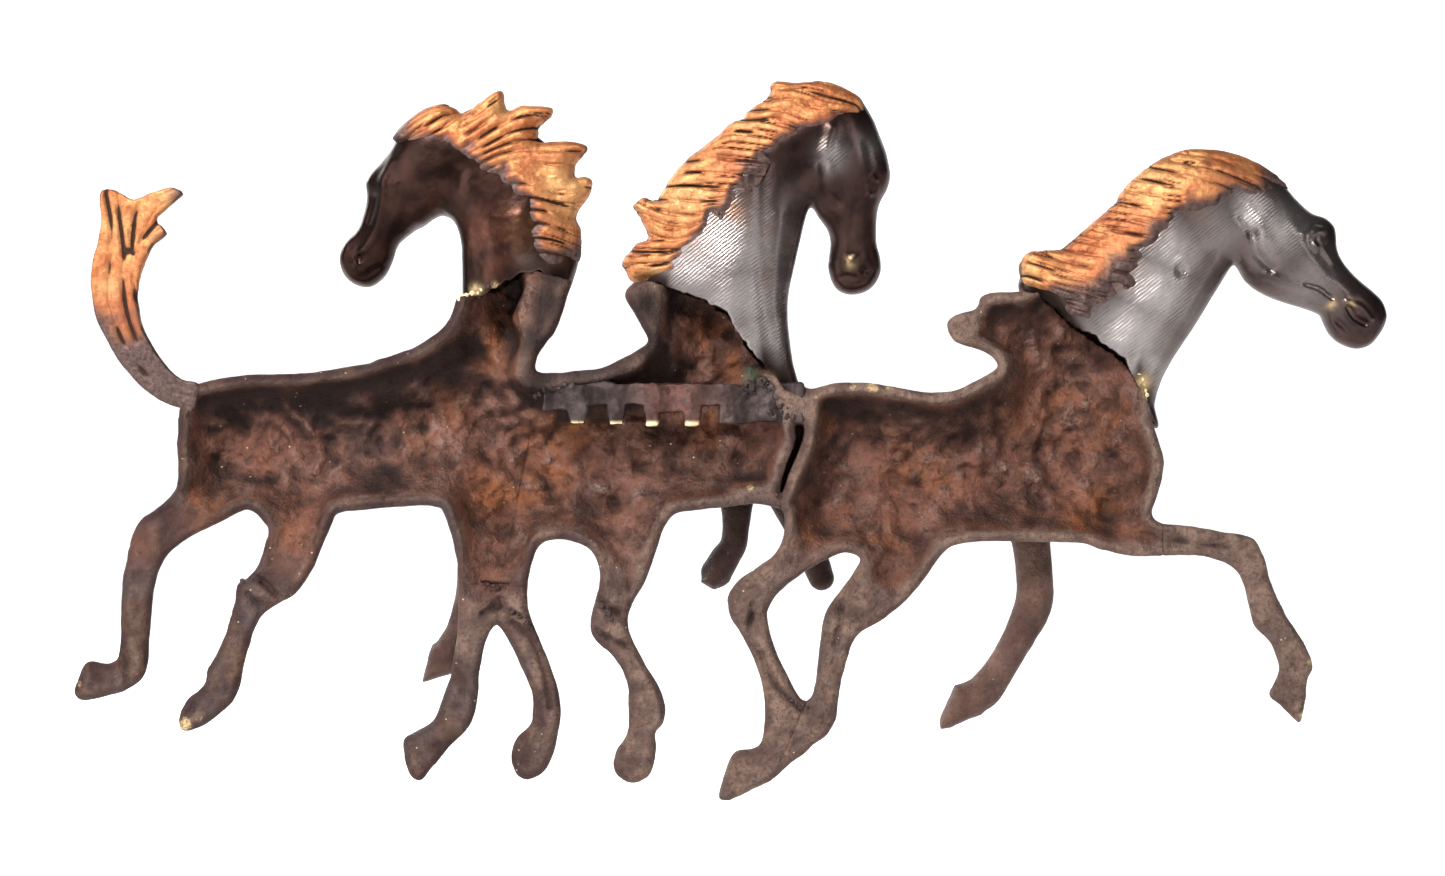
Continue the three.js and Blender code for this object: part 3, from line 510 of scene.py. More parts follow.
# The lips where each neck's rear half starts over its hollow, then the parts of the plane that the
# pieces take.
lips = {
    1: [[91, 36.6], [86, 38], [83.6, 38.4], [80, 39.0], [75, 41.2], [70, 44.2], [66, 46.4], [60, 46.8],
        [55, 45], [48, 43.2], [43, 42]],
    2: [[34, 42.6], [27, 42.4], [20, 42.8], [14, 41], [8, 39.4], [1, 36.6], [-5, 33], [-9, 27.6], [-12, 22],
        [-15, 18], [-19, 13.4], [-22.6, 9.6], [-26, 5.4], [-30.6, 3.6]],
    3: [[-106, 41.4], [-110, 40], [-115, 38.8], [-119, 36.6], [-126, 30], [-131, 26.6], [-137, 23],
        [-146, 16], [-149, 10.4], [-151.4, 4], [-153.6, -1], [-157, -8]],
}
neckAreas = {
    1: lips[1] + [[36, 60], [36, 118], [140, 118], [140, 34], [97, 34]],
    2: lips[2] + [[-33.6, 8.6], [-36, 20], [-70, 30], [-70, 122], [36, 122]],
    3: lips[3] + [[-245, 0], [-245, 100], [-104, 100]],
}
legAreas = {
    "near_foreleg_1": [[100, -63], [73, -63], [74.8, -77.4], [79, -84], [83.5, -142], [120, -142],
                       [120, -63]],
    "hind_leg_2_rear": [[73, -63.6], [54, -63.6], [45, -80], [45, -142], [83.5, -142], [79, -84],
                        [74.8, -77.4]],
    "hind_leg_2_front": [[44, -69], [22, -70], [10, -90], [10, -142], [45, -142], [45, -80]],
    "hind_leg_3_rear": [[2, -58], [-16, -58.4], [-27, -67], [-27, -80], [-34, -104], [-30, -113], [-22, -131],
                        [-20, -145], [2, -145]],
    "hind_leg_3_front": [[-37, -70.6], [-58, -81.4], [-58, -145], [-20, -145], [-22, -131], [-30, -113],
                         [-34, -104], [-36, -80]],
    "near_foreleg_3": [[-159, -30], [-159, -58], [-176, -122], [-225, -122], [-225, -30]],
}
leading = [[-33, 12], [-33.6, -4], [-33.2, -8], [-30.6, -18], [-26.6, -28], [-25, -33], [-25, -40], [2, -56],
           [2, -150], [-230, -150], [-230, 70], [-60, 70]]
behindSeam = [[58, 60], [61, 12], [74, -64], [80, -80], [90, -150], [240, -150], [240, 60]]

ragged = 0.7 * grain(flat.gx, 0, flat.gz, 3.4, 31) + 0.45 * grain(flat.gx, 0, flat.gz, 1.4, 32)
overNeck = {n: flat.depthInside(area, 14.0, smooth=False) for n, area in neckAreas.items()}
legShare = {name: flat.depthInside(area, 14.0, smooth=False) for name, area in legAreas.items()}
clear = -np.maximum.reduce(list(legShare.values()) + [share + 0.6 * ragged for share in overNeck.values()])
inLeading = flat.depthInside(leading, 14.0, smooth=False)
inTrailing = flat.depthInside(behindSeam, 14.0, smooth=False)
areas = {
    "trunk_1": np.minimum(clear, inTrailing),
    "trunk_2": np.minimum.reduce([clear, -inTrailing, -inLeading]),
    "trunk_3": np.minimum(clear, inLeading),
    **legShare,
}

pieces = {}


def flatPiece(name):
    area = areas[name] + casting["overlap"]
    i, k = np.nonzero(np.any(shell < 0, axis=1) & (area > 0))
    part = Sheet(0, 1, 0, 1, flat.pitch)
    cut = (slice(i.min() - 3, i.max() + 4), slice(k.min() - 3, k.max() + 4))
    part.x, part.z = flat.x[cut[0]], flat.z[cut[1]]
    field = np.maximum(shell[cut[0], :, cut[1]], -area[cut][:, None, :].astype(np.float32))
    return skin(field, part, flatY)


def fromFlat(values, sheet):
    # a drawing on the castings' sheet, carried over to another sheet
    places = np.stack([sheet.gx.ravel(), np.zeros(sheet.gx.size), sheet.gz.ravel()], 1)
    return sampled(flat, values, places).reshape(sheet.gx.shape)


def roundField(sheet, ys, drawing, sizes, marks, softness=2.0):
    # an outline swelled to oval sections, with marks [points, width, on the wall side, on the relief side]
    middles = [[r[0], r[1], r[2], r[4]] for r in sizes]
    drawn = []
    for x, z in drawing:
        weight = [math.exp(-1.4 * ((x - r[0]) ** 2 + (z - r[1]) ** 2) / max(r[2], 4) ** 2) + 1e-9
                  for r in middles]
        drawn.append(spread([[x, z]], -sum(w * r[3] for w, r in zip(weight, middles)) / sum(weight))[0])
    inset = sheet.depthInside(drawn)
    half, depth, middle = sheet.fromRows(sizes, 3)
    reach = softened(rounded(inset, half), inset, softness, sheet.pitch)
    back, front = depth.copy(), depth.copy()
    for points, width, wallSide, reliefSide in marks:
        touch = sheet.stroke(points, width) if len(points) > 1 else sheet.dab(*points[0], width)
        back += wallSide * touch
        front += reliefSide * touch
    return section(sheet, ys, reach, half, middle, front, back), inset


def eyeMarks(x, z, turn, size, wallSide=1.0, reliefSide=1.0):
    c, s = math.cos(turn), math.sin(turn)

    def arc(height, spanned):
        spots = [(-1.0, -0.1), (-0.5, 0.75), (0.1, 1.0), (0.7, 0.6), (1.1, -0.3)]
        return [[x + size * (u * spanned * c - v * height * s), z + size * (u * spanned * s + v * height * c)]
                for u, v in spots]

    return [
        ([[x, z]], 2.1 * size, -1.1 * wallSide, -1.1 * reliefSide),
        ([[x, z]], 0.72 * size, 1.5 * wallSide, 1.5 * reliefSide),
        (arc(0.95, 1.15), 0.34 * size, 1.1 * wallSide, 1.1 * reliefSide),
        (arc(-0.8, 1.1), 0.3 * size, 0.8 * wallSide, 0.8 * reliefSide),
        (arc(1.7, 1.4), 0.3 * size, 0.5 * wallSide, 0.5 * reliefSide),
    ]


# Outlines of the necks and heads, by the number of the horse.
headDrawings = {
    1: [[86.6, 29], [86.6, 36], [86.6, 42], [86.7, 50], [87, 56], [88, 60.6], [90, 64.4], [93.6, 66.3],
        [97, 64.9], [100, 62.6], [104, 60.4], [109, 56], [111, 50.4], [114, 44.8], [119, 41.3], [124, 42],
        [128, 45.4], [129.5, 50.6], [128, 56], [124, 60.6], [122, 64], [120.4, 69], [119.8, 73],
        [120.2, 77.4], [118.6, 81], [115, 85.2], [112, 89], [109, 94], [105, 99], [98, 103], [88, 102],
        [78, 100], [68, 97], [58, 92], [53, 84], [50, 74], [47.6, 66], [45.4, 60], [45.4, 54], [46.2, 49],
        [48, 43], [50, 38], [54, 30], [70, 26]],
    2: [[-31.4, 4], [-30.6, 9], [-29, 15], [-27.6, 25], [-27.2, 35], [-28.8, 45], [-31.8, 58], [-34.9, 68.8],
        [-38.4, 65], [-41, 61.4], [-42.2, 57], [-41.8, 52], [-41.4, 48], [-42.8, 43], [-45.4, 39.8],
        [-49.5, 38.6], [-54.6, 39.6], [-58, 42.6], [-59.7, 46.6], [-59.6, 51], [-58.2, 57], [-58.2, 64],
        [-59.4, 70.4], [-62, 75.6], [-63, 79.4], [-62.6, 84], [-60.6, 91], [-57, 100], [-52, 107], [-44, 110],
        [-34, 109], [-24, 104], [-12, 96], [-2, 86], [8, 74], [15, 62], [21, 51], [25, 43], [22, 34], [0, 14],
        [-20, -2]],
    3: [[-155, -8], [-155.6, 0], [-157, 6], [-160.4, 13.6], [-171, 30], [-178, 41.4], [-182.6, 48.6],
        [-184.6, 48], [-187, 43.8], [-191, 40.2], [-197, 37.2], [-204, 34.8], [-210, 33], [-213.6, 31.2],
        [-215, 28], [-217.4, 24], [-221, 21.2], [-226, 19.7], [-231, 21.2], [-234.8, 26], [-236.6, 31],
        [-235.2, 36], [-231.4, 40], [-226, 44.6], [-221.6, 49.4], [-219.4, 54], [-218.8, 59], [-218, 62.4],
        [-215, 65.4], [-210, 67.2], [-205, 71.6], [-200, 77.4], [-194, 82.2], [-186, 85.4], [-176, 88],
        [-166, 87], [-156, 81], [-146, 71], [-134, 59], [-122, 51], [-112, 49], [-108, 42], [-112, 34],
        [-130, 10]],
}
# Their oval sections: [x, z, half width, half depth, middle].
headSizes = {
    1: [[66, 36, 19, 11, -13], [67, 44, 18, 11, -12.6], [69.5, 55, 16.5, 10.6, -12.6],
        [72, 66, 16, 10.4, -12.6], [78, 77, 16, 10, -14], [88, 87, 14, 10.4, -15], [98, 82.5, 14, 12, -17],
        [106, 73.5, 13, 12, -20], [113, 64, 10.5, 10, -23], [118.5, 56, 9, 8.4, -25], [122, 49, 9, 8.2, -27],
        [62, 88, 12, 7, -13]],
    2: [[4, 22, 28, 11, -12.8], [-2, 34, 24, 11, -12.8], [-9, 48, 19, 11, -12.8], [-14, 62, 18, 11, -12.8],
        [-20, 76, 17, 10.6, -12.8], [-28, 88, 16, 10.6, -13.4], [-39, 98, 14, 10.6, -15],
        [-48, 86, 13.4, 12, -18], [-51, 74, 11, 11, -21], [-51.4, 63, 8.8, 8.8, -24.6],
        [-51.4, 53, 9, 8.4, -27], [-51, 45, 8.6, 8, -28]],
    3: [[-134, 17, 26, 11, -12.8], [-144, 31, 22, 11, -12.8], [-157, 47, 20, 11, -12.8],
        [-170, 61, 19, 11, -12.8], [-184, 69, 17, 11.4, -13], [-196, 61, 16, 12, -13.4],
        [-207, 51, 12.6, 11, -14], [-217, 41, 10.4, 9, -15], [-226, 32, 10, 8.4, -15.6]],
}
# Features modelled on them: [points], width, height on the wall side and on the relief side.
headMarks = {
    1: eyeMarks(113, 76, -0.9, 2.6, 0.25, 1.0) + [
        ([[101, 77]], 9.0, 1.2, 1.4), ([[107, 71], [111, 62], [114, 55]], 2.4, -1.0, -1.0),
        ([[113.6, 87], [116.2, 79], [117.2, 70], [119.4, 62], [123, 56]], 1.8, 1.1, 1.1),
        ([[119.6, 74], [121.8, 66]], 1.4, -0.9, -0.9),
        ([[126, 53]], 1.8, -1.6, -1.8), ([[125, 55.4], [127.4, 53], [127, 50.4]], 0.9, 0.8, 0.8),
        ([[112, 47], [117, 50], [122, 48]], 1.0, -0.8, -1.0),
        ([[96, 68], [90, 74], [88, 82]], 2.6, -1.0, -1.0),
        ([[83, 62], [82, 50], [84, 40]], 3.0, -0.8, -0.8), ([[67, 66], [66, 54]], 3.6, 0.8, 0.8),
        ([[96, 92], [92, 98], [90, 103]], 2.2, 0.0, 1.8),
    ],
    2: eyeMarks(-57.6, 77.4, 1.9, 2.4, 0.7, 1.0) + [
        ([[-44, 82]], 8.0, 1.0, 1.6), ([[-41, 90], [-43, 97]], 2.2, 1.2, 1.0),
        ([[-40, 84], [-41, 76], [-45, 72]], 1.8, -1.4, -1.2),
        ([[-52, 72], [-50.4, 62], [-50.6, 55]], 1.8, -0.8, -0.8), ([[-56, 92], [-57.4, 84]], 2.0, -0.8, -0.8),
        ([[-50.6, 51]], 3.0, 0.9, 0.6), ([[-55.4, 48.4]], 1.4, -1.4, -1.6),
        ([[-44, 44.6], [-48, 46.6], [-52, 46]], 0.9, -0.6, -0.9),
        ([[-18.6, 84], [-18, 60], [-19.4, 36], [-23, 16]], 3.2, -1.1, -1.0),
        ([[-25, 66], [-23.6, 44], [-25, 24]], 2.6, 0.7, 0.7),
        ([[-6, 52], [-6, 30]], 7.0, 0.9, 0.9), ([[-36, 108], [-30, 112]], 2.2, 0.0, 1.6),
    ],
    3: eyeMarks(-214.6, 58.4, -0.95, 2.7) + [
        ([[-194, 60]], 8.0, 1.4, 1.4), ([[-190.6, 60], [-192, 54], [-197, 48]], 1.8, -1.6, -1.4),
        ([[-187, 66], [-190.6, 60]], 2.0, -1.2, -1.0),
        ([[-205, 62], [-211, 52], [-217, 44]], 2.6, 0.8, 0.8),
        ([[-208, 60], [-212, 64], [-217.4, 63.4]], 1.0, 1.2, 1.2),
        ([[-207, 66], [-213, 66]], 1.8, -0.6, -0.6), ([[-216, 55], [-219.4, 50.6]], 1.1, 0.9, 0.9),
        ([[-196, 46], [-203, 42.4], [-210, 40.6], [-218, 36.6]], 1.6, 1.5, 1.5),
        ([[-188, 46], [-200, 38], [-210, 35]], 2.6, -1.8, -1.4),
        ([[-210, 42.4], [-215, 41], [-219.6, 37.6]], 0.8, -1.4, -1.4), ([[-219.6, 36]], 1.5, 1.3, 1.0),
        ([[-225.8, 34.6], [-227.6, 31.4], [-231.6, 29]], 1.3, -1.8, -1.8),
        ([[-224.6, 36.4], [-229.6, 34.4], [-233.4, 30.4]], 1.1, 1.4, 1.4),
        ([[-222, 30], [-227, 25.6], [-231, 23.6]], 0.8, -1.2, -1.2),
        ([[-225, 39.4], [-221, 43]], 2.4, 0.5, 0.5),
        ([[-165.6, 47.6]], 2.7, -1.9, 0.0), ([[-162.6, 48.6], [-165.6, 51.2], [-168.6, 48]], 1.0, 0.5, 0.0),
        ([[-157, 10], [-170, 34], [-180, 50]], 3.0, 1.2, 1.2),
        ([[-152, 14], [-164, 38], [-174, 54]], 3.2, -0.8, -0.8),
        ([[-176, 84], [-186, 88]], 2.2, 0.0, 1.8),
    ],
}
neck = {"pitch": 0.5, "layers": (-40.0, 1.0), "pocket": 8.0, "pocketFrom": -4.4, "pocketTo": -21.4,
        "tuck": 9.0, "tuckFrom": 6.0, "tuckTo": 9.0, "skin": 2.0, "behindFloor": 0.4}


def neckPiece(number):
    drawing = headDrawings[number]
    xs, zs = [p[0] for p in drawing], [p[1] for p in drawing]
    sheet = Sheet(min(xs) - 10, max(xs) + 10, min(zs) - 4, max(zs) + 8, neck["pitch"])
    ys = np.arange(*neck["layers"], neck["pitch"])
    field, inset = roundField(sheet, ys, drawing, headSizes[number], headMarks[number])
    above = sheet.depthInside(neckAreas[number], 16.0, smooth=False)
    torn = (above + 0.7 * grain(sheet.gx, 0, sheet.gz, 3.0, 40 + number)
            + 0.4 * grain(sheet.gx, 0, sheet.gz, 1.3, 50 + number))
    middle = (neck["pocketFrom"] + neck["pocketTo"]) / 2
    radius = (neck["pocketFrom"] - neck["pocketTo"]) / 2
    floorBelow = fromFlat(hollowDepth, sheet) + neck["behindFloor"]
    for j, y in enumerate(ys):
        down = np.maximum(above, 0) / neck["pocket"]
        pocket = (np.sqrt(down ** 2 + ((y - middle) / radius) ** 2) - 1) * radius
        pocket = np.maximum(pocket, field[:, j, :] + neck["skin"])
        # the relief half runs on below the lip, inside the trunk's wall
        cut = torn + neck["tuck"] * ramp(-y, neck["tuckFrom"], neck["tuckTo"])
        cut = np.where(torn < 0, np.minimum(cut, np.maximum(torn, -y - floorBelow)), cut)
        field[:, j, :] = np.maximum.reduce([field[:, j, :], -cut, -pocket])
    field = roughen(field, sheet, ys, [(7.0, 0.16, 60 + number), (2.2, 0.06, 63 + number)])
    return skin(field, sheet, ys), sheet, above, inset


# Outlines of the manes.
maneDrawings = {
    1: [[111, 93], [105, 100], [99, 103.8], [93, 105.3], [88.6, 103.4], [86.8, 102.2], [82, 104.8],
        [75.4, 109.4], [72.4, 109.4], [71.8, 105.6], [70.4, 103], [66, 104.6], [59, 104.6], [55, 103.6],
        [55.6, 100.6], [59.4, 97.2], [59.8, 92.2], [56, 92], [48, 92], [43, 90.4], [43.4, 88.2], [46.6, 84.4],
        [47.2, 79.8], [44, 79.8], [41.2, 78.4], [42, 73.6], [46.6, 66.4], [45.4, 62], [45, 58], [46, 50],
        [54, 48], [60, 52], [63.6, 60], [65.6, 66], [70, 74], [78, 80], [88, 87], [97, 90.6], [105, 91]],
    2: [[-53.6, 106], [-47, 110.8], [-39, 113.2], [-30, 112.6], [-23, 113], [-20.8, 111], [-21, 108.6],
        [-17, 105.2], [-12.4, 102.2], [-12, 100.4], [-7.4, 98.8], [-3, 94.4], [3, 89.8], [9, 85], [13.4, 80],
        [17.4, 73.4], [20, 71.6], [23, 72.6], [26, 70.8], [27, 69], [24.4, 65], [21.8, 58.4], [26.2, 56],
        [30.8, 49.8], [29.4, 46.4], [27.2, 43], [20, 42.6], [14, 43], [8, 50], [0, 60], [-8, 67], [-17, 76],
        [-22, 84], [-30, 90], [-40, 96], [-52, 100]],
    3: [[-110, 41], [-108.4, 45.6], [-108.6, 50], [-112, 53.6], [-118, 54.2], [-123, 54.6], [-127, 57.8],
        [-133, 63], [-141, 70], [-144, 74.6], [-148, 79], [-157, 85.6], [-166, 89.2], [-175, 89.4],
        [-184, 87.6], [-192, 84.2], [-199, 79.4], [-202, 75.4], [-196, 73], [-186, 72], [-176, 68],
        [-168, 66], [-158, 58], [-152, 50], [-148, 42], [-138, 34], [-132, 27], [-126, 29], [-120, 35]],
}
# Locks of the manes and of the tail (4) as [points], each running from its root to its tip.
locks = {
    1: [[[109, 92], [101, 98], [93, 102.6], [87.4, 102.4]], [[105, 91], [97, 95], [91, 98.6], [84, 103]],
        [[100, 91], [92, 95], [84, 101.6], [73.4, 109]], [[97, 88], [89, 93], [80, 98.4], [71.4, 105]],
        [[94, 86], [85, 91], [76, 97.4], [66, 102.4], [56, 103]], [[90, 85], [80, 90], [70, 96], [59, 99]],
        [[86, 84], [76, 89], [68, 92.8], [60, 94.4]],
        [[84, 82], [75, 87.4], [66, 90], [55, 90.2], [43.6, 90]],
        [[82, 81], [73, 85], [64, 86.6], [54, 86], [45.6, 86.4]],
        [[78, 79], [71, 81.6], [63, 82.6], [55, 80.6], [47.6, 81.4]],
        [[75, 77], [68, 78.6], [60, 78], [52, 75.6], [42, 78.4]],
        [[71, 73], [64, 74.4], [57, 72.6], [49, 71.4], [42.6, 73.4]],
        [[68, 69], [60, 69.4], [52, 67.6], [45.4, 67]], [[66, 65], [58, 65], [50, 63], [45.6, 61.6]],
        [[64, 60], [56, 60], [45.6, 57]], [[62, 55], [54, 54], [46, 51.6]],
        [[60, 50.6], [52, 50], [46.6, 47.6]]],
    2: [[[-53, 105], [-45, 108.6], [-34, 111.6], [-22, 111.6]],
        [[-50, 102.6], [-40, 104], [-30, 107.6], [-20.6, 108.4]],
        [[-50, 100], [-38, 100], [-28, 103.6], [-15, 104.4]],
        [[-44, 96.6], [-34, 97], [-24, 100.6], [-12.6, 100.6]],
        [[-32, 92.4], [-22, 96], [-10, 97.6], [-4, 96]], [[-27, 89], [-16, 91.6], [-6, 92.4], [2, 90.4]],
        [[-22, 85.4], [-12, 87], [-2, 88], [7, 86.4]], [[-19, 81], [-8, 82], [2, 83], [11, 82.4]],
        [[-18, 76.6], [-8, 77.4], [4, 78.4], [14, 78.4]], [[-14, 73], [-4, 72.6], [6, 73.4], [17, 73.4]],
        [[-8, 68.6], [2, 67.6], [11, 68.4], [21, 70]], [[-2, 66], [7, 64], [16, 65], [26, 69.4]],
        [[0, 63], [8, 59.6], [16, 59.4], [23, 63]], [[2, 58.6], [10, 55.6], [18, 55.4], [25, 56]],
        [[6, 53.6], [14, 51], [22, 50.4], [30, 50]], [[10, 49.4], [16, 46.6], [22, 45.6], [28.4, 45.6]],
        [[12, 45.4], [18, 43], [26, 42.6]]],
    3: [[[-200, 77], [-190, 81.6], [-178, 87], [-168, 88.4]],
        [[-196, 74.6], [-186, 79.4], [-174, 84], [-162, 86.4]],
        [[-188, 73.4], [-178, 77.4], [-168, 81], [-156, 84.4]],
        [[-182, 71.4], [-172, 75.4], [-162, 78], [-151, 81]],
        [[-176, 69.4], [-166, 72.6], [-156, 74.4], [-147, 77]],
        [[-170, 67.6], [-160, 69], [-152, 70.6], [-143, 73]],
        [[-164, 64], [-156, 65], [-148, 66.6], [-139, 69]],
        [[-160, 60], [-152, 60.4], [-144, 62.4], [-134.6, 64]],
        [[-157, 56], [-148, 56], [-138, 58], [-129.6, 60.6]],
        [[-153, 51.6], [-144, 52], [-134, 54], [-124.6, 56]],
        [[-150, 47], [-140, 48.4], [-130, 50], [-119, 53]],
        [[-147, 43], [-137, 44.6], [-126, 47], [-111, 52]],
        [[-143, 38.6], [-133, 40.6], [-122, 43], [-109, 47.6]],
        [[-138, 34], [-129, 36.4], [-119, 39], [-110, 42.6]], [[-133, 29.6], [-126, 31.4], [-119, 35.4]]],
    4: [[[182, 2], [194, 6], [203, 14], [209, 24], [212.6, 36], [212.6, 50], [211, 62], [213, 74]],
        [[182, 4], [192, 8], [200, 17], [205.4, 28], [208, 40], [207.6, 52], [208.4, 64], [210, 74]],
        [[181, 6], [189, 11], [197, 20], [201.6, 32], [203, 44], [203, 54], [205, 66], [204, 72]],
        [[200, 38], [200.4, 48], [197.4, 56], [191.6, 60.6]],
        [[202, 54], [199, 62], [194, 70], [186.4, 74.4]]],
}
tailDrawing = [[181, -2], [186, -1.2], [190.5, 0.4], [195, 3], [200, 7], [207, 15], [211, 22], [215, 30],
               [216.6, 38], [217, 45], [216, 52], [214, 60], [213.4, 65.6], [214, 72], [213, 75.4],
               [210, 75.8], [206, 74], [202, 72], [197, 74], [190, 76.2], [187, 75.8], [184.6, 74.2],
               [188, 71], [193, 66.6], [194, 65], [190.6, 60.4], [193, 57.6], [196, 55], [199.6, 46],
               [200.4, 40], [200, 32], [198.8, 27], [195, 20], [190, 13], [185, 9], [179, 7]]
mane = {"pitch": 0.42, "layers": (-26.0, 1.4), "flatBack": False, "half": 6.0, "depth": 8.6, "middle": -12.4,
        "groove": 1.5, "grooveWidth": 0.62, "hair": 0.16, "cuts": 0.9, "lift": 1.5, "fade": 5.0}


def lockRelief(sheet, runs, grooveWidth):
    # grooves where two locks meet, and the hairs along each lock
    near = np.full(sheet.gx.shape, 60.0)
    second = near.copy()
    for run in runs:
        d = sheet.lineDistance(throughPoints(run, False), 60.0)
        second = np.minimum(second, np.maximum(near, d))
        near = np.minimum(near, d)
    return near, np.exp(-((second - near) / (2 * grooveWidth)) ** 2)


def manePiece(number, drawing, size, seed):
    depth = -size["middle"]
    drawn = spread(drawing, depth)
    runs = [spread(run, depth) for run in locks[number]]
    xs, zs = [p[0] for p in drawn], [p[1] for p in drawn]
    sheet = Sheet(min(xs) - 4, max(xs) + 4, min(zs) - 4, max(zs) + 4, size["pitch"])
    ys = np.arange(*size["layers"], size["pitch"])
    inset = sheet.depthInside(drawn)
    near, groove = lockRelief(sheet, runs, size["grooveWidth"])
    waver = grain(sheet.gx, 0, sheet.gz, 5.0, seed) * 0.5 + 0.75
    hair = np.sin(near * 4.4 + 2.2 * grain(sheet.gx, 0, sheet.gz, 3.0, seed + 1)) * ramp(near, 0.3, 1.2)
    groove = groove * np.clip(0.62 + 0.95 * grain(sheet.gx, 0, sheet.gz, 6.0, seed + 6), 0.12, 1.15)
    cuts = np.exp(-((near
                     - 1.5) / 0.34) ** 2) * np.clip(0.3 + 1.7 * grain(sheet.gx, 0, sheet.gz, 6.5, seed + 7),
                                                    0, 1)
    cuts += np.exp(-((near - 2.9) / 0.34) ** 2) * np.clip(2.0 * grain(sheet.gx, 0, sheet.gz, 5.5, seed + 9),
                                                          0, 1)
    groove = np.maximum(groove, size["cuts"] * cuts)
    carved = -size["groove"] * groove + size["hair"] * hair * waver
    carved += 0.14 * grain(sheet.gx, 0, sheet.gz, 2.6,
                           seed + 2) + 0.07 * grain(sheet.gx, 0, sheet.gz, 1.2, seed + 3)
    inner = np.zeros(inset.shape)
    reach = softened(rounded(inset + 0.35 * carved, size["half"]), inset, 1.6, sheet.pitch)
    full = size["depth"] + carved + 0.6 * grain(sheet.gx, 0, sheet.gz, 9.0, seed + 4)
    back = full if size["flatBack"] else size["depth"] * 0.9 + carved
    field = section(sheet, ys, reach, np.full(inset.shape, size["half"]), size["middle"], full, back)
    if number in headDrawings:
        under, neckInset = roundField(sheet, ys, headDrawings[number], headSizes[number], [])
        tufted = inset - 1.6 - 2.6 * grain(sheet.gx, 0, sheet.gz, 4.2, seed + 8) - 1.2 * groove
        lift = (size["lift"] + 0.8 * carved) * ramp(tufted, 0,
                                                    size["fade"]) - 0.5 * (1 - ramp(tufted, -1, 0.6))
        over = np.maximum(under - lift[:, None, :], -inset[:, None, :])
        field = blend(field, over.astype(np.float32), 1.0)
        inner = ramp(neckInset, 4.0, 11.0) * (1 - ramp(tufted, -0.5, size["fade"] + 1.5))
    if size["flatBack"]:
        for j, y in enumerate(ys):
            field[:, j, :] = -blend(-field[:, j, :], -(y - np.minimum(0.9 * carved, 0)), 1.2)
    field = roughen(field, sheet, ys, [(1.4, 0.07, seed + 5)], band=1.2)
    return skin(field, sheet, ys), sheet, {"groove": groove, "inset": inset, "inner": inner}


# The forelegs that stand in front of the wall plane: [x, z, half width, half depth, middle].
farLegs = {
    "far_foreleg_1": [[81, -20, 9, 2.4, -25], [82.6, -32, 8.6, 3.4, -23.6], [84, -42, 7, 4.2, -22],
                      [84.4, -50, 6.4, 5, -21.8], [86, -66, 5.6, 5.4, -24.6], [90, -80, 5, 5, -26],
                      [93.6, -87.4, 5.6, 5.4, -27], [96, -91, 5.4, 5, -27]],
    "foreleg_2_rear": [[-6, -12, 9, 2.4, -25], [-8.4, -24, 8, 3.4, -24], [-9.2, -33, 6.6, 4.2, -22.6],
                       [-9.4, -38, 5.4, 5, -22.4], [-8.6, -49, 4.8, 5, -24], [-5, -55.4, 5.4, 5, -26],
                       [-2.2, -60, 5.6, 4.8, -27]],
    "foreleg_2_front": [[-13, -6, 9, 2.4, -25.4], [-18, -17, 8.4, 3.6, -25], [-22, -25, 7, 4.6, -24],
                        [-25, -30, 6.2, 5, -24.4], [-32.4, -44, 5.2, 5.4, -30], [-38, -56, 5, 5, -32],
                        [-40.4, -62.6, 4.6, 4.4, -32.6]],
    "far_foreleg_3": [[-116, -14, 11, 2.4, -25.4], [-114, -28, 9.6, 3.4, -24.6], [-113.6, -39, 8, 4.4, -23],
                      [-115, -46, 7.2, 6, -22.8], [-116.6, -60, 6.6, 6, -23], [-116.4, -71, 6.8, 6, -23],
                      [-111.6, -82, 5.8, 5.4, -22.6], [-105.4, -93, 5.4, 5.4, -22.4],
                      [-99, -102, 6.2, 5.6, -22.4], [-94.6, -105, 6.2, 6, -22.4]],
}
# Their wedge-shaped hooves: an outline, and the height at which its middle lies (y).
hooves = {
    "far_foreleg_1": ([[100.6, -86.2], [91, -83.6], [90, -95.6], [104.4, -100.2]], -27.0),
    "far_foreleg_3": ([[-88, -100.4], [-85, -107], [-80.8, -116.6], [-86.4, -115.6], [-97.4, -110.8],
                       [-101, -103.6], [-94.6, -100.6]], -22.4),
    "foreleg_2_rear": ([[-1, -56], [-7, -57], [-6.6, -63], [-1.4, -66.4], [3.6, -63.6]], -26.4),
}
farLeg = {"pitch": 0.5, "layers": (-40.0, -3.0), "margin": 12, "hoofLine": 8.0, "hoofHalf": 3.0,
          "hoofDepth": 5.6, "coronet": 1.6, "skin": 1.2}


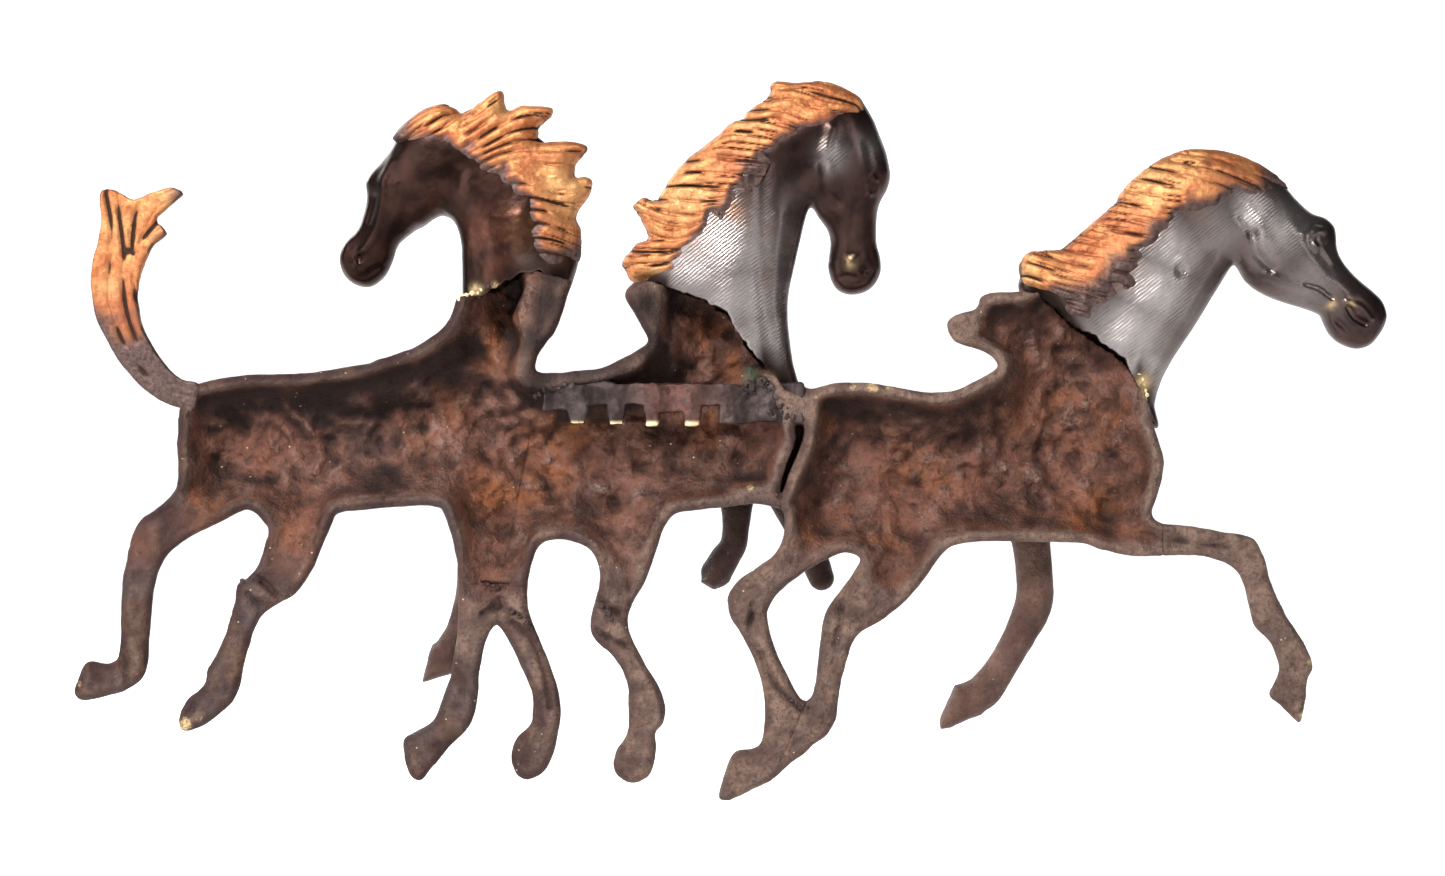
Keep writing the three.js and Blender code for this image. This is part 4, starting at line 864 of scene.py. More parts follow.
def farLegPiece(name, seed):
    run = throughPoints(farLegs[name], False)
    low, high = run[:, :2].min(0) - farLeg["margin"], run[:, :2].max(0) + farLeg["margin"]
    sheet = Sheet(low[0], high[0], low[1], high[1], farLeg["pitch"])
    ys = np.arange(*farLeg["layers"], farLeg["pitch"])
    near, half, depth, middle = sheet.lineDistance(run, 60.0, follow=3)
    half = blur(half, 1.5, sheet.pitch)
    depth, middle = blur(depth, 1.5, sheet.pitch), blur(middle, 1.5, sheet.pitch)
    end = farLegs[name][-1]
    hoof = sheet.dab(end[0], end[1], farLeg["hoofLine"])
    depth = depth - 0.5 * np.exp(-((hoof - 0.35) / 0.08) ** 2)
    field = section(sheet, ys, near / half, half, middle, depth, depth)
    # the root stays within the relief wall and never shows in the hollow
    hollowHere = fromFlat(blur(hollowDepth, 1.2, flat.pitch), sheet)
    overBody = fromFlat(np.clip(silhouette, -3, 3), sheet)
    for j, y in enumerate(ys):
        field[:, j, :] = np.maximum(field[:, j, :], np.minimum(y + hollowHere + farLeg["skin"], overBody))
    if name in hooves:
        wedge, back = hooves[name]
        wedgeInset = sheet.depthInside(wedge, smooth=False)
        hoofHalf, hoofDepth = farLeg["hoofHalf"], farLeg["hoofDepth"]
        hoofBody = section(sheet, ys, rounded(wedgeInset, hoofHalf), hoofHalf, back, hoofDepth, hoofDepth)
        field = blend(field, hoofBody, farLeg["coronet"])
    field = roughen(field, sheet, ys, [(5.0, 0.22, seed), (1.8, 0.08, seed + 1)])
    return skin(field, sheet, ys)


class Shade:
    # a socket in a material's node tree that takes part in plain expressions
    def __init__(self, tree, socket):
        self.tree, self.socket = tree, socket

    def node(self, kind, settings=None, **sockets):
        made = self.tree.nodes.new(kind)
        for key, value in (settings or {}).items():
            setattr(made, key, value)
        for key, value in sockets.items():
            place = made.inputs[int(key[1:])] if key[0] == "_" else made.inputs[key.replace("_", " ")]
            if isinstance(value, Shade):
                self.tree.links.new(value.socket, place)
            else:
                place.default_value = value
        return Shade(self.tree, next(s for s in made.outputs if s.enabled))

    def maths(self, operation, *values):
        return self.node("ShaderNodeMath", {"operation": operation},
                         **{f"_{i}": v for i, v in enumerate(values)})

    def __add__(self, other):
        return self.maths("ADD", self, other)

    def __radd__(self, other):
        return self.maths("ADD", other, self)

    def __sub__(self, other):
        return self.maths("SUBTRACT", self, other)

    def __rsub__(self, other):
        return self.maths("SUBTRACT", other, self)

    def __mul__(self, other):
        return self.maths("MULTIPLY", self, other)

    def __rmul__(self, other):
        return self.maths("MULTIPLY", other, self)

    def between(self, low, high):
        return self.node("ShaderNodeMapRange", {"interpolation_type": "SMOOTHSTEP"}, Value=self, From_Min=low,
                         From_Max=high)

    def mixed(self, first, second):
        # from the first colour to the second as this goes from 0 to 1
        colours = [c if isinstance(c, Shade) else (*c, 1) for c in (first, second)]
        mix = self.node("ShaderNodeMix", {"data_type": "RGBA", "clamp_factor": True}, _0=self, _6=colours[0],
                        _7=colours[1])
        return mix.pick(2)

    def pick(self, index):
        return Shade(self.tree, self.socket.node.outputs[index])


def newMaterial(name):
    material = bpy.data.materials.new(name)
    material.use_nodes = True
    tree = material.node_tree
    shader = tree.nodes["Principled BSDF"]
    start = Shade(tree, None)
    place = start.node("ShaderNodeTexCoord").pick(3)
    return material, tree, shader, place


def markOf(place, name):
    return place.node("ShaderNodeAttribute", {"attribute_name": name}).pick(2)


def cloud(place, size, detail=4.0, rough=0.6, twist=0.0):
    # even noise whose lumps are of the given size in millimetres
    return place.node("ShaderNodeTexNoise", None, Vector=place, Scale=1000.0 / size, Detail=detail,
                      Roughness=rough, Distortion=twist)


def setShader(tree, shader, **links):
    for key, value in links.items():
        place = shader.inputs[key.replace("_", " ")]
        if isinstance(value, Shade):
            tree.links.new(value.socket, place)
        else:
            place.default_value = value


# the darkest colour is for painted shade; the ash and pale ground colours also carry painted highlights
patina = {
    "dark": (0.026, 0.014, 0.012), "brown": (0.060, 0.025, 0.016), "red": (0.180, 0.074, 0.048),
    "ashAndHighlight": (0.25, 0.168, 0.146), "rust": (0.27, 0.085, 0.020), "brass": (0.72, 0.52, 0.27),
    "speck": (0.62, 0.50, 0.36), "soil": (0.022, 0.012, 0.009), "verdigris": (0.075, 0.155, 0.105),
    "plum": (0.040, 0.019, 0.019), "tan": (0.088, 0.046, 0.030), "pewter": (0.060, 0.042, 0.042),
    "groundPaleAndLit": (0.215, 0.140, 0.108),
}


def castBronze():
    # patinated casting: painted shade in the corners, under the rims and in the creases, red-brown,
    # ash-grey patches and painted highlights on the lumps, plum, tan and pewter where it was ground flat
    material, tree, shader, place = newMaterial("patinated cast bronze")
    large, middle, small = cloud(place, 24, 3), cloud(place, 7, 5, 0.65), cloud(place, 1.5, 4, 0.7)
    other, fine = cloud(place, 15, 4, 0.6, 0.8), cloud(place, 0.5, 2, 0.6)
    ground, rust, shadow, worn, light = (markOf(place, n)
                                         for n in ("ground", "rust", "shadow", "worn", "light"))
    tone = 0.55 * middle + 0.45 * large
    colour = tone.between(0.38, 0.58).mixed(patina["brown"], patina["red"])
    # the light mark paints highlights on lumps and on slopes facing the key light, mixed with ash-grey
    # patches
    colour = (light * small.between(0.38, 0.62) * other.between(0.40, 0.60)).mixed(colour, patina["ashAndHighlight"])
    colour = (rust * (0.35 + middle).between(0.62, 1.05)).mixed(colour, patina["rust"])
    rim = other.between(0.46, 0.64).mixed(patina["plum"], patina["tan"])
    rim = (large.between(0.48, 0.62) * 0.8).mixed(rim, patina["pewter"])
    patchy = 1.1 * other.between(0.36, 0.62) * middle.between(0.3, 0.7) + 0.55
    # on the ground places the light mark paints them paler: tan patches and painted lightening
    rim = (light * patchy).mixed(rim, patina["groundPaleAndLit"])
    rim = (small.between(0.46, 0.66) * 0.55).mixed(rim, patina["brown"])
    colour = (ground * (0.85 + 0.3 * middle)).mixed(colour, rim)
    # painted shade from the shadow mark: top walls, dips and corners of the hollows, creases and listed
    # places
    colour = (shadow * (1.15 - 0.5 * small)).between(0.12, 0.95).mixed(colour, patina["dark"])
    soiled = cloud(place, 3.0, 6, 0.75).between(0.53, 0.68) * (0.7 - 0.58 * ground)
    colour = soiled.mixed(colour, patina["soil"])
    flecks = place.node("ShaderNodeTexVoronoi", {"feature": "F1"}, Vector=place, Scale=230.0, Randomness=1.0)
    flecks = (1 - flecks.between(0.04, 0.10)) * cloud(place, 5, 2).between(0.50, 0.60)
    colour = (flecks * 0.8).mixed(colour, patina["speck"])
    colour = (markOf(place, "green") * small.between(0.35, 0.55)).mixed(colour, patina["verdigris"])
    brass = (worn * (0.2 + small)).between(0.42, 0.72)
    colour = brass.mixed(colour, patina["brass"])
    rough = 0.40 + 0.26 * small - 0.12 * brass
    height = 0.60 * middle + 0.50 * small + 0.16 * fine
    bump = place.node("ShaderNodeBump", None, Strength=0.95, Distance=0.0018, Height=height)
    setShader(tree, shader, Base_Color=colour, Roughness=rough, Metallic=0.50 + 0.4 * brass, Normal=bump)
    shader.inputs["Specular IOR Level"].default_value = 0.35
    return material


def satinBronze():
    # necks and heads: smooth dark bronze, filed places with a painted highlight, painted shade under the lips
    material, tree, shader, place = newMaterial("satin dark bronze")
    middle, small, fine = cloud(place, 9, 4), cloud(place, 1.8, 4, 0.65), cloud(place, 0.45, 2)
    filed, rust, shadow = markOf(place, "filed"), markOf(place, "rust"), markOf(place, "shadow")
    worn, gild, brown = markOf(place, "worn"), markOf(place, "gild"), markOf(place, "brown")
    colour = middle.between(0.35, 0.65).mixed((0.040, 0.024, 0.023), (0.078, 0.047, 0.042))
    colour = brown.mixed(colour,
                         middle.between(0.35, 0.65).mixed((0.020, 0.0088, 0.0065), (0.036, 0.0155, 0.011)))
    # the filed places are painted pale grey as a highlight; their file marks are in the bump
    colour = (filed * (0.65 + 0.5 * small)).mixed(colour, (0.56, 0.51, 0.49))
    colour = (rust * middle.between(0.3, 0.7)).mixed(colour, (0.115, 0.040, 0.023))
    # painted shade in the pocket under each lip
    colour = shadow.mixed(colour, (0.016, 0.009, 0.007))
    colour = (gild * (0.4 + middle).between(0.7, 1.1)).mixed(colour, (0.36, 0.16, 0.075))
    colour = (worn * (0.4 + small).between(0.55, 0.95)).mixed(colour, patina["brass"])
    marks = place.node("ShaderNodeMapping", None, Vector=place, Rotation=(0.0, 0.9, 0.0))
    strokes = place.node("ShaderNodeTexWave", {"bands_direction": "X", "wave_profile": "SIN"}, Vector=marks,
                         Scale=290.0,
                         Distortion=2.6, Detail=2.0, Detail_Scale=1.4)
    height = 0.22 * small + 0.08 * fine + 0.55 * filed * strokes.pick(1)
    bump = place.node("ShaderNodeBump", None, Strength=0.42, Distance=0.0007, Height=height)
    rough = 0.27 + 0.10 * small + 0.07 * filed + 0.30 * shadow
    setShader(tree, shader, Base_Color=colour, Roughness=rough, Metallic=0.88, Normal=bump)
    return material


def giltBronze():
    # manes and tail: gilt locks with painted highlights, dark in the grooves, fading to the brown casting
    material, tree, shader, place = newMaterial("gilt bronze")
    middle, small, fine = cloud(place, 6, 4), cloud(place, 1.4, 4, 0.7), cloud(place, 0.4, 2)
    gild, groove, pale, copper = (markOf(place, n) for n in ("gild", "groove", "pale", "copper"))
    gold = middle.between(0.38, 0.62).mixed((0.40, 0.125, 0.043), (0.60, 0.255, 0.090))
    # pale places: a painted highlight on the gold
    gold = (pale * (0.4 + small).between(0.6, 1.0) * 0.8).mixed(gold, (0.76, 0.46, 0.19))
    gold = (copper * (0.6 + middle).between(0.7, 1.2)).mixed(gold, (0.33, 0.095, 0.046))
    gold = (small.between(0.46, 0.70) * 0.7).mixed(gold, (0.19, 0.060, 0.026))
    base = small.between(0.3, 0.7).mixed((0.050, 0.030, 0.026), (0.14, 0.085, 0.074))
    colour = (gild + 0.35 * small - 0.175).between(0.18, 0.82).mixed(base, gold)
    colour = (groove * 1.1).between(0.25, 0.95).mixed(colour, (0.040, 0.017, 0.009))
    height = 0.5 * small + 0.2 * fine
    bump = place.node("ShaderNodeBump", None, Strength=0.5, Distance=0.0007, Height=height)
    rough = 0.42 + 0.20 * small + 0.2 * groove
    setShader(tree, shader, Base_Color=colour, Roughness=rough, Metallic=0.66, Normal=bump)
    return material


def barBronze():
    material, tree, shader, place = newMaterial("filed bar bronze")
    middle, small, fine = cloud(place, 8, 4), cloud(place, 1.6, 5, 0.7), cloud(place, 0.45, 2)
    worn, rust = markOf(place, "worn"), markOf(place, "rust")
    colour = middle.between(0.35, 0.65).mixed((0.026, 0.017, 0.016), (0.080, 0.058, 0.055))
    colour = (small.between(0.5, 0.72) * 0.6).mixed(colour, (0.022, 0.013, 0.011))
    colour = (rust * small.between(0.3, 0.6)).mixed(colour, (0.17, 0.062, 0.045))
    colour = (worn * (0.4 + small).between(0.5, 0.85)).mixed(colour, (0.86, 0.68, 0.40))
    height = 0.6 * small + 0.4 * middle + 0.2 * fine
    bump = place.node("ShaderNodeBump", None, Strength=0.6, Distance=0.0012, Height=height)
    setShader(tree, shader, Base_Color=colour, Roughness=0.38 + 0.25 * small, Metallic=0.7, Normal=bump)
    return material


def spots(sheet, places):
    # soft round patches [x, z, width, strength]
    total = np.zeros(sheet.gx.shape)
    for x, z, width, strength in places:
        total = np.maximum(total, strength * sheet.dab(x, z, width))
    return total


# Where castings are rusty, worn bright, in painted shade, pale and free of grinding: [x, z, width, strength].
rustPlaces = [[75, 20, 7, 1], [72, 32, 6, 1], [70, 40, 5, 1], [60, -12, 9, .8], [56, -24, 8, .7],
              [78, -31, 9, .9], [66, -30, 8, .8], [94, -2, 6, .6], [104, -12, 6, .5], [50, -9, 8, .9],
              [40, -6, 7, .7], [178, -34, 9, .4], [196, -46, 7, .45], [148, -44, 8, .35], [86, -84, 6, .5],
              [85, -94, 5, .45], [0, -8, 9, .45], [-8, 14, 7, .6], [0, 26, 7, .7], [-10, 8, 8, .5],
              [-39, 3, 5, 1], [-42, -4, 6, .6], [-70, -22, 9, .5], [-80, -26, 8, .6], [-140, -36, 8, 1],
              [-132, -40, 7, .7], [-126, 0, 12, .45], [-108, -4, 10, .35], [-142, -8, 9, .35],
              [-64, -50, 9, .4], [-38, -46, 8, .35], [108, 20, 5, .3]]
wornPlaces = [[82, 39, 2.6, .8], [221, -98, 3.0, .75], [184, -112, 4.4, .95], [179, -109.6, 4, .7],
              [159, -61, 2.6, .6], [-50, 6.2, 3.0, .8], [-57, 6.6, 3.6, 1], [-63, 6, 3.2, .8],
              [-37.4, 3, 2.6, .8], [-210.6, -90, 2.6, .9], [-208, -109, 3.2, .95], [-14, -29, 2.2, 1],
              [-21, 1, 2.4, 1], [-152.6, 8, 2.6, .8], [-26, 3, 1.8, .8], [93, -36, 1.6, .7],
              [59, -120.6, 2.0, .6], [-109, 37.4, 2.0, .6], [-17, 9, 1.8, .4], [32, 10, 1.8, .5],
              [168, -96, 2.2, .4], [191.6, -37.6, 1.4, .7], [106, 18, 1.2, .8], [-202, -82, 2.2, .5]]
shadePlaces = [[170, -4, 14, .32], [180, -22, 9, .25], [158, 8, 10, .3], [140, -5, 10, .6],
              [125, -12, 11, .62], [108, -13, 10, .5], [116, -25, 8, .45], [134, 7, 9, .6], [112, 9, 10, .5],
              [90, 16, 9, .45], [76, 8, 8, .35], [58, 36, 9, .95], [61, 22, 8, .95], [54, 46, 8, .9],
              [60, 9, 8, 1], [47, 5, 8, .9], [22, 35, 8, 1], [20, 21, 8, 1], [15, 11, 8, .85],
              [30, 8, 8, .85], [60, 50, 6, .6], [-140, -27, 8, .35], [-136, 12, 9, .35], [-46, -14, 6, .3],
              [150, -26, 6, .4]]
# pale places lighten the ground as tan patches; the negative ones take the painted lightening off the walls
# beside the bar
palePlaces = [[88, -84, 7, .5], [84, -76, 7, .4], [58, -118, 6, .3], [26, -120, 7, .2], [70, -70, 6, .35],
              [78, -100, 6, .2], [152, -68, 6, .25], [205, -104, 6, .15], [14, -104, 6, -.15],
              [30, -74, 6, -.2], [56, -90, 6, .25], [58, 30, 14, -.5], [22, 28, 12, -.5], [40, 8, 10, -.4]]
barePlaces = [[76, -57, 10, .8], [146, -50, 9, .8], [176, -42, 9, .6], [30, -48, 9, .5], [-139, -44, 8, .5],
              [-60, -50, 9, .6], [-38, -46, 8, .6], [88, -70, 6, .4], [200, -50, 8, .5]]
bareMap = spots(flat, barePlaces)
greenMap = spots(flat, [[-15, 11, 2.6, .9], [-12.5, 9.4, 1.6, .6]])
paleMap = sum(strength * flat.dab(x, z, width) for x, z, width, strength in palePlaces)
rustMap, wornMap, shadeMap = spots(flat, rustPlaces), spots(flat, wornPlaces), spots(flat, shadePlaces)
deeper = hollowDepth - blur(hollowDepth, 3.2, flat.pitch)
slopeX, slopeZ = np.gradient(blur(hollowDepth, 0.8, flat.pitch), flat.pitch)


# Strengths of the painted shade (base, topWall, dip, lowWall, crease) and of the ash patches and painted
# highlights (pale, paleDip, toLight, paleCrease) in the hollows and on the creases.
hollowTones = {"base": 0.06, "topWall": 0.62, "dip": 0.24, "lowWall": 0.42, "crease": 1.1, "pale": 0.42,
               "paleDip": 0.34, "toLight": 0.25, "paleCrease": 0.9}


def flatMarks(points):
    x, y, z = points.T
    hollow = sampled(flat, hollowDepth, points)
    onBack = ramp(-np.abs(y + hollow), -1.6, -0.7)
    level = onBack * (1 - ramp(hollow, 1.5, 3.4))
    inHollow = onBack * ramp(hollow, 1.4, 3.6)
    # painted lightening of the flat backs towards -x and on the upper legs there
    pale = 0.52 * ramp(-x, -90, 0) + 0.30 * ramp(-x, 28, 80) * ramp(z, -84, -40) + 0.2 * ramp(-x, 120, 170)
    dip, rise, drift = (sampled(flat, values, points) for values in (deeper, slopeZ, slopeX))
    topWall, lowWall = np.clip(-rise / 1.1, 0, 1), np.clip(rise / 1.4, 0, 1)
    toLight = np.clip(0.8 * rise + 0.4 * drift, 0, 0.9)
    pale = np.clip(pale + sampled(flat, paleMap, points), 0, 1)
    crease = level * ramp(sampled(flat, inset, points), 1.5, 4.0)
    bare = np.clip(sampled(flat, bareMap, points), 0, 0.8)
    # the listed places of painted shade
    dark = np.clip(sampled(flat, shadeMap, points), 0, 1)
    tones = hollowTones
    # painted shade in the hollows, strongest under the top rims and in the dips, and in the leg creases
    hollowShade = (tones["base"] + tones["topWall"] * topWall + tones["dip"] * np.clip(dip, -1, 2.5)
                  + tones["lowWall"] * lowWall)
    # ash-grey patches with painted highlights on lumps and on slopes facing the key light, and painted
    # highlights on ridges
    hollowAshAndHighlight = tones["pale"] - tones["paleDip"] * dip + tones["toLight"] * toLight
    creaseShade = tones["crease"] * crease * np.clip(dip, 0, 1)
    ridgeHighlight = tones["paleCrease"] * crease * np.clip(dip, -0.6, 0)
    return {
        "ground": np.maximum(level * (1 - bare), 0.75 * (1 - onBack)),
        "rust": np.clip(sampled(flat, rustMap, points), 0, 1) * (0.25 + 0.75 * onBack),
        "shadow": np.clip(onBack * dark + creaseShade + inHollow * hollowShade, 0, 1),
        "light": np.clip(inHollow * hollowAshAndHighlight + level * pale - ridgeHighlight, 0, 1),
        "worn": np.clip(sampled(flat, wornMap, points) * (0.3 + 0.7 * onBack), 0, 1),
        "green": onBack * np.clip(sampled(flat, greenMap, points), 0, 1),
    }


def addPiece(name, made, marks, material, slot, *nodes):
    points, quads = made
    piece = meshOf(name, points, quads, marks)
    piece.data.materials.append(material)
    pieces[name] = (piece, slot, nodes)
    return piece


castMetal, satinMetal, giltMetal, barMetal = castBronze(), satinBronze(), giltBronze(), barBronze()
flatPieces = {
    "trunk_1": ("dark_bronze", "horse_1_body"),
    "trunk_2": ("dark_bronze", "horse_2_body"),
    "trunk_3": ("dark_bronze", "horse_3_body"),
    "near_foreleg_1": ("leg_bronze", "horse_1_near_foreleg"),
    "hind_leg_2_rear": ("leg_bronze", "horse_2_rear_hind_leg"),
    "hind_leg_2_front": ("leg_bronze", "horse_2_front_hind_leg"),
    "hind_leg_3_rear": ("leg_bronze", "horse_3_rear_hind_leg"),
    "hind_leg_3_front": ("leg_bronze", "horse_3_front_hind_leg"),
    "near_foreleg_3": ("leg_bronze", "horse_3_near_foreleg"),
}
for name, (slot, node) in flatPieces.items():
    made = flatPiece(name)
    addPiece(name, made, flatMarks(made[0]), castMetal, slot, node)

farNodes = {"far_foreleg_1": "horse_1_far_foreleg", "foreleg_2_rear": "horse_2_rear_foreleg",
            "foreleg_2_front": "horse_2_front_foreleg", "far_foreleg_3": "horse_3_far_foreleg"}
# how much painted shade (through the shadow mark) and lightening (through the light mark) each of them gets
farTones = {"far_foreleg_1": (0.35, 0.2), "foreleg_2_rear": (0.66, 0.0), "foreleg_2_front": (0.66, 0.0),
            "far_foreleg_3": (0.2, 0.35)}
for number, (name, node) in enumerate(farNodes.items()):
    made = farLegPiece(name, 70 + 3 * number)
    plain = np.zeros(len(made[0]))
    dark, pale = farTones[name]
    marks = {"ground": plain + 0.7, "shadow": plain + dark, "light": plain + pale, "rust": plain,
             "worn": plain, "green": plain}
    addPiece(name, made, marks, castMetal, "leg_bronze", node)

# Filed patches that also carry a painted highlight, and reddened, gilded and worn patches on the necks.
neckPatches = {
    1: {"filed": [[50, 36, 4, .3], [64, 50, 4, .12]],
        "rust": [[78, 60, 9, .8], [98, 74, 4, .8], [74, 50, 8, .5]],
        "worn": [[82.6, 40.6, 1.9, 1], [75.4, 42, 1.0, .8]], "gild": [[62, 60, 7, .5], [58, 54, 5, .5]]},
    2: {"filed": [[-6, 56, 13, 1], [-10, 38, 11, 1], [-16, 24, 8, .95], [-20, 14, 5, .8], [4, 48, 9, .9],
                  [-43, 88, 4, .7], [-30, 50, 3, .3], [-57, 92, 4, .4]],
        "rust": [[-19.6, 62, 4, .35], [-20, 44, 4, .35], [-29, 14, 4, .5]],
        "worn": [[-21, 9, 2.0, .5], [-50, 51, 2.2, .35]],
        "gild": [[-8, 70, 8, .5], [2, 60, 6, .5]]},
    3: {"filed": [[-148, 26, 10, 1], [-156, 40, 10, 1], [-162, 54, 9, .8], [-152, 14, 7, .9],
                  [-190, 68, 6, .8], [-200, 62, 9, .6], [-212, 44, 9, .35], [-176, 62, 9, .5]],
        "rust": [[-176, 60, 9, .3]],
        "worn": [[-152.8, 8, 2.6, 1], [-151.6, 4, 2.0, .9], [-219.8, 35.6, 1.5, .8], [-226.4, 36, 1.6, .6]],
        "gild": [[-150, 62, 8, .5], [-170, 74, 8, .5], [-140, 48, 8, .6]]},
}
browner = {1: 1.0, 2: 0.6, 3: 0.1}
filedAndSheenSpread, filedAndSheenShare = 1.35, {1: 0.86, 2: 0.66, 3: 0.9}
for number in (1, 2, 3):
    made, sheet, above, inside = neckPiece(number)
    points = made[0]
    patches = {name: [[x, z, width * filedAndSheenSpread if name == "filed" else width, share] for x, z, width,
                      share in places]
               for name, places in neckPatches[number].items()}
    marks = {name: np.clip(sampled(sheet, spots(sheet, places), points), 0, 1)
             for name, places in patches.items()}
    marks["filed"] *= filedAndSheenShare[number]
    # painted shade on the rear of the neck in the pocket under the lip
    nearLip = sampled(sheet, above, points)
    behindLip, offEdge = ramp(points[:, 1], -3.4, -4.6), ramp(sampled(sheet, inside, points), 2.0, 3.4)
    within = ramp(nearLip, neck["pocket"] + 1, 1.0) * behindLip * offEdge
    marks["shadow"] = np.clip(within, 0, 1)
    marks["brown"] = np.full(len(points), browner[number])
    addPiece(f"head_and_neck_{number}", made, marks, satinMetal, "satin_bronze", f"horse_{number}_head_neck")

# Gilding: [x, z, width, strength] where it is full, pale with a painted highlight, and coppery.
maneGild = {
    1: {"gild": [[92, 98, 13, 1], [76, 98, 16, 1], [60, 92, 18, 1], [54, 78, 16, 1], [54, 66, 10, .95],
                 [56, 58, 6, .6]],
        "pale": [[50, 78, 9, .9], [50, 70, 8, .7], [74, 106, 5, .6]],
        "copper": [[60, 57, 8, .7], [76, 78, 8, .6], [104, 96, 6, .5], [48, 88, 5, .4]]},
    2: {"gild": [[-36, 106, 17, 1], [-14, 100, 14, 1], [4, 84, 15, 1], [14, 66, 14, 1], [22, 50, 10, .95]],
        "pale": [[8, 74, 10, .8], [18, 46, 6, 1], [-14, 97, 8, .5], [24, 71, 4, .6]],
        "copper": [[-10, 84, 9, .7], [-28, 96, 8, .5], [0, 66, 8, .5], [26, 56, 5, .5]]},
    3: {"gild": [[-116, 48, 10, 1], [-128, 54, 11, 1], [-142, 66, 12, 1], [-156, 78, 13, 1],
                 [-172, 84, 12, 1], [-186, 83, 9, .8]],
        "pale": [[-154, 78, 9, .8], [-166, 84, 8, .5], [-112, 46, 5, .9], [-122, 44, 6, .5]],
        "copper": [[-146, 62, 9, .6], [-130, 50, 7, .5], [-182, 78, 7, .6], [-194, 78, 6, .5]]},
    4: {"gild": [[206, 70, 16, 1], [208, 54, 14, 1], [207, 42, 11, .9], [204, 28, 8, .45]],
        "pale": [[210, 41, 4, 1], [208, 62, 8, .4], [190, 73, 6, .5]],
        "copper": [[204, 32, 10, .9], [196, 18, 9, .8], [200, 50, 4, .5]]},
}
tail = {"pitch": 0.42, "layers": (-15.0, 1.4), "flatBack": True, "half": 5.0, "depth": 11.0, "middle": 0.0,
        "groove": 1.0, "grooveWidth": 1.0, "hair": 0.08, "cuts": 0.3}
maneSlots = {1: ("mane_1", "horse_1_mane"), 2: ("mane_2", "horse_2_mane"), 3: ("mane_3", "horse_3_mane"),
             4: ("tail_1", "horse_1_tail")}
for number, (name, node) in maneSlots.items():
    if number < 4:
        made, sheet, maps = manePiece(number, maneDrawings[number], mane, 80 + 10 * number)
    else:
        made, sheet, maps = manePiece(4, tailDrawing, tail, 120)
    points = made[0]
    marks = {mark: np.clip(sampled(sheet, spots(sheet, places), points), 0, 1)
             for mark, places in maneGild[number].items()}
    innerEdge = sampled(sheet, maps["inner"], points)
    marks["gild"] = np.clip(marks["gild"] * 1.6, 0, 1) * (1 - 0.85 * np.clip(innerEdge, 0, 1))
    marks["copper"] = np.maximum(marks["copper"], np.clip(1.6 * innerEdge, 0, 1))
    # a thin band along the outline is darkened as well, through the groove mark
    edge = 0.75 * (1 - ramp(maps["inset"], 0.1,
                            1.2)) * np.clip(0.6 + grain(sheet.gx, 0, sheet.gz, 5.0, 77), 0, 1)
    marks["groove"] = np.clip(sampled(sheet, np.maximum(ramp(maps["groove"], 0.38, 0.95), edge), points), 0,
                              1)
    addPiece(name, made, marks, giltMetal, "gilt_bronze", node)


class NodeTree:
    # a geometry node tree with named inputs
    def __init__(self, name):
        self.tree = bpy.data.node_groups.new(name, "GeometryNodeTree")
        self.tree.interface.new_socket("Geometry", in_out="OUTPUT", socket_type="NodeSocketGeometry")
        self.tree.interface.new_socket("Geometry", in_out="INPUT", socket_type="NodeSocketGeometry")
        self.entry = self.tree.nodes.new("NodeGroupInput")
        self.exit = self.tree.nodes.new("NodeGroupOutput")

    def size(self, name, value, kind="NodeSocketFloat"):
        socket = self.tree.interface.new_socket(name, in_out="INPUT", socket_type=kind)
        if value is not None:
            socket.default_value = value
        return next(s for s in self.entry.outputs if s.identifier == socket.identifier)

    def add(self, kind, settings=None, **sockets):
        made = self.tree.nodes.new(kind)
        for key, value in (settings or {}).items():
            setattr(made, key, value)
        for key, value in sockets.items():
            place = made.inputs[int(key[1:])] if key[0] == "_" else made.inputs[key.replace("_", " ")]
            if isinstance(value, bpy.types.NodeSocket):
                self.tree.links.new(value, place)
            else:
                place.default_value = value
        return next(s for s in made.outputs if s.enabled)

    def maths(self, operation, *values):
        return self.add("ShaderNodeMath", {"operation": operation},
                        **{f"_{i}": v for i, v in enumerate(values)})

    def finish(self, geometry, material):
        whole = self.add("GeometryNodeRealizeInstances", None, Geometry=geometry)
        painted = self.add("GeometryNodeSetMaterial", None, Geometry=whole, Material=material)
        self.tree.links.new(painted, self.exit.inputs[0])

    def result(self, name, guide, **values):
        # runs the tree on a guide mesh and keeps what it makes as a plain mesh
        holder = bpy.data.objects.new(name, guide)
        bpy.context.scene.collection.objects.link(holder)
        modifier = holder.modifiers.new("shape", "NODES")
        modifier.node_group = self.tree
        for item in self.tree.interface.items_tree:
            if item.in_out == "INPUT" and item.name in values:
                modifier[item.identifier] = values[item.name]
        bpy.context.view_layer.update()
        made = bpy.data.meshes.new_from_object(holder.evaluated_get(bpy.context.evaluated_depsgraph_get()))
        holder.modifiers.remove(modifier)
        holder.data = made
        made.name = name
        made.polygons.foreach_set("use_smooth", np.ones(len(made.polygons), bool))
        print("made", name, len(made.vertices), "points")
        return holder


bar = {"pitch": 13.3, "toothWidth": 7.0, "toothDrop": 7.6, "teeth": 4, "firstTooth": 6.6, "thickness": 6.0,
       "top": 7.9, "left": 59.0, "right": -33.0, "swell": 1.6, "dents": 1.8, "waves": 3.6, "voxel": 0.34,
       "mesh": 0.4, "wallGap": 0.05, "seed": 4}


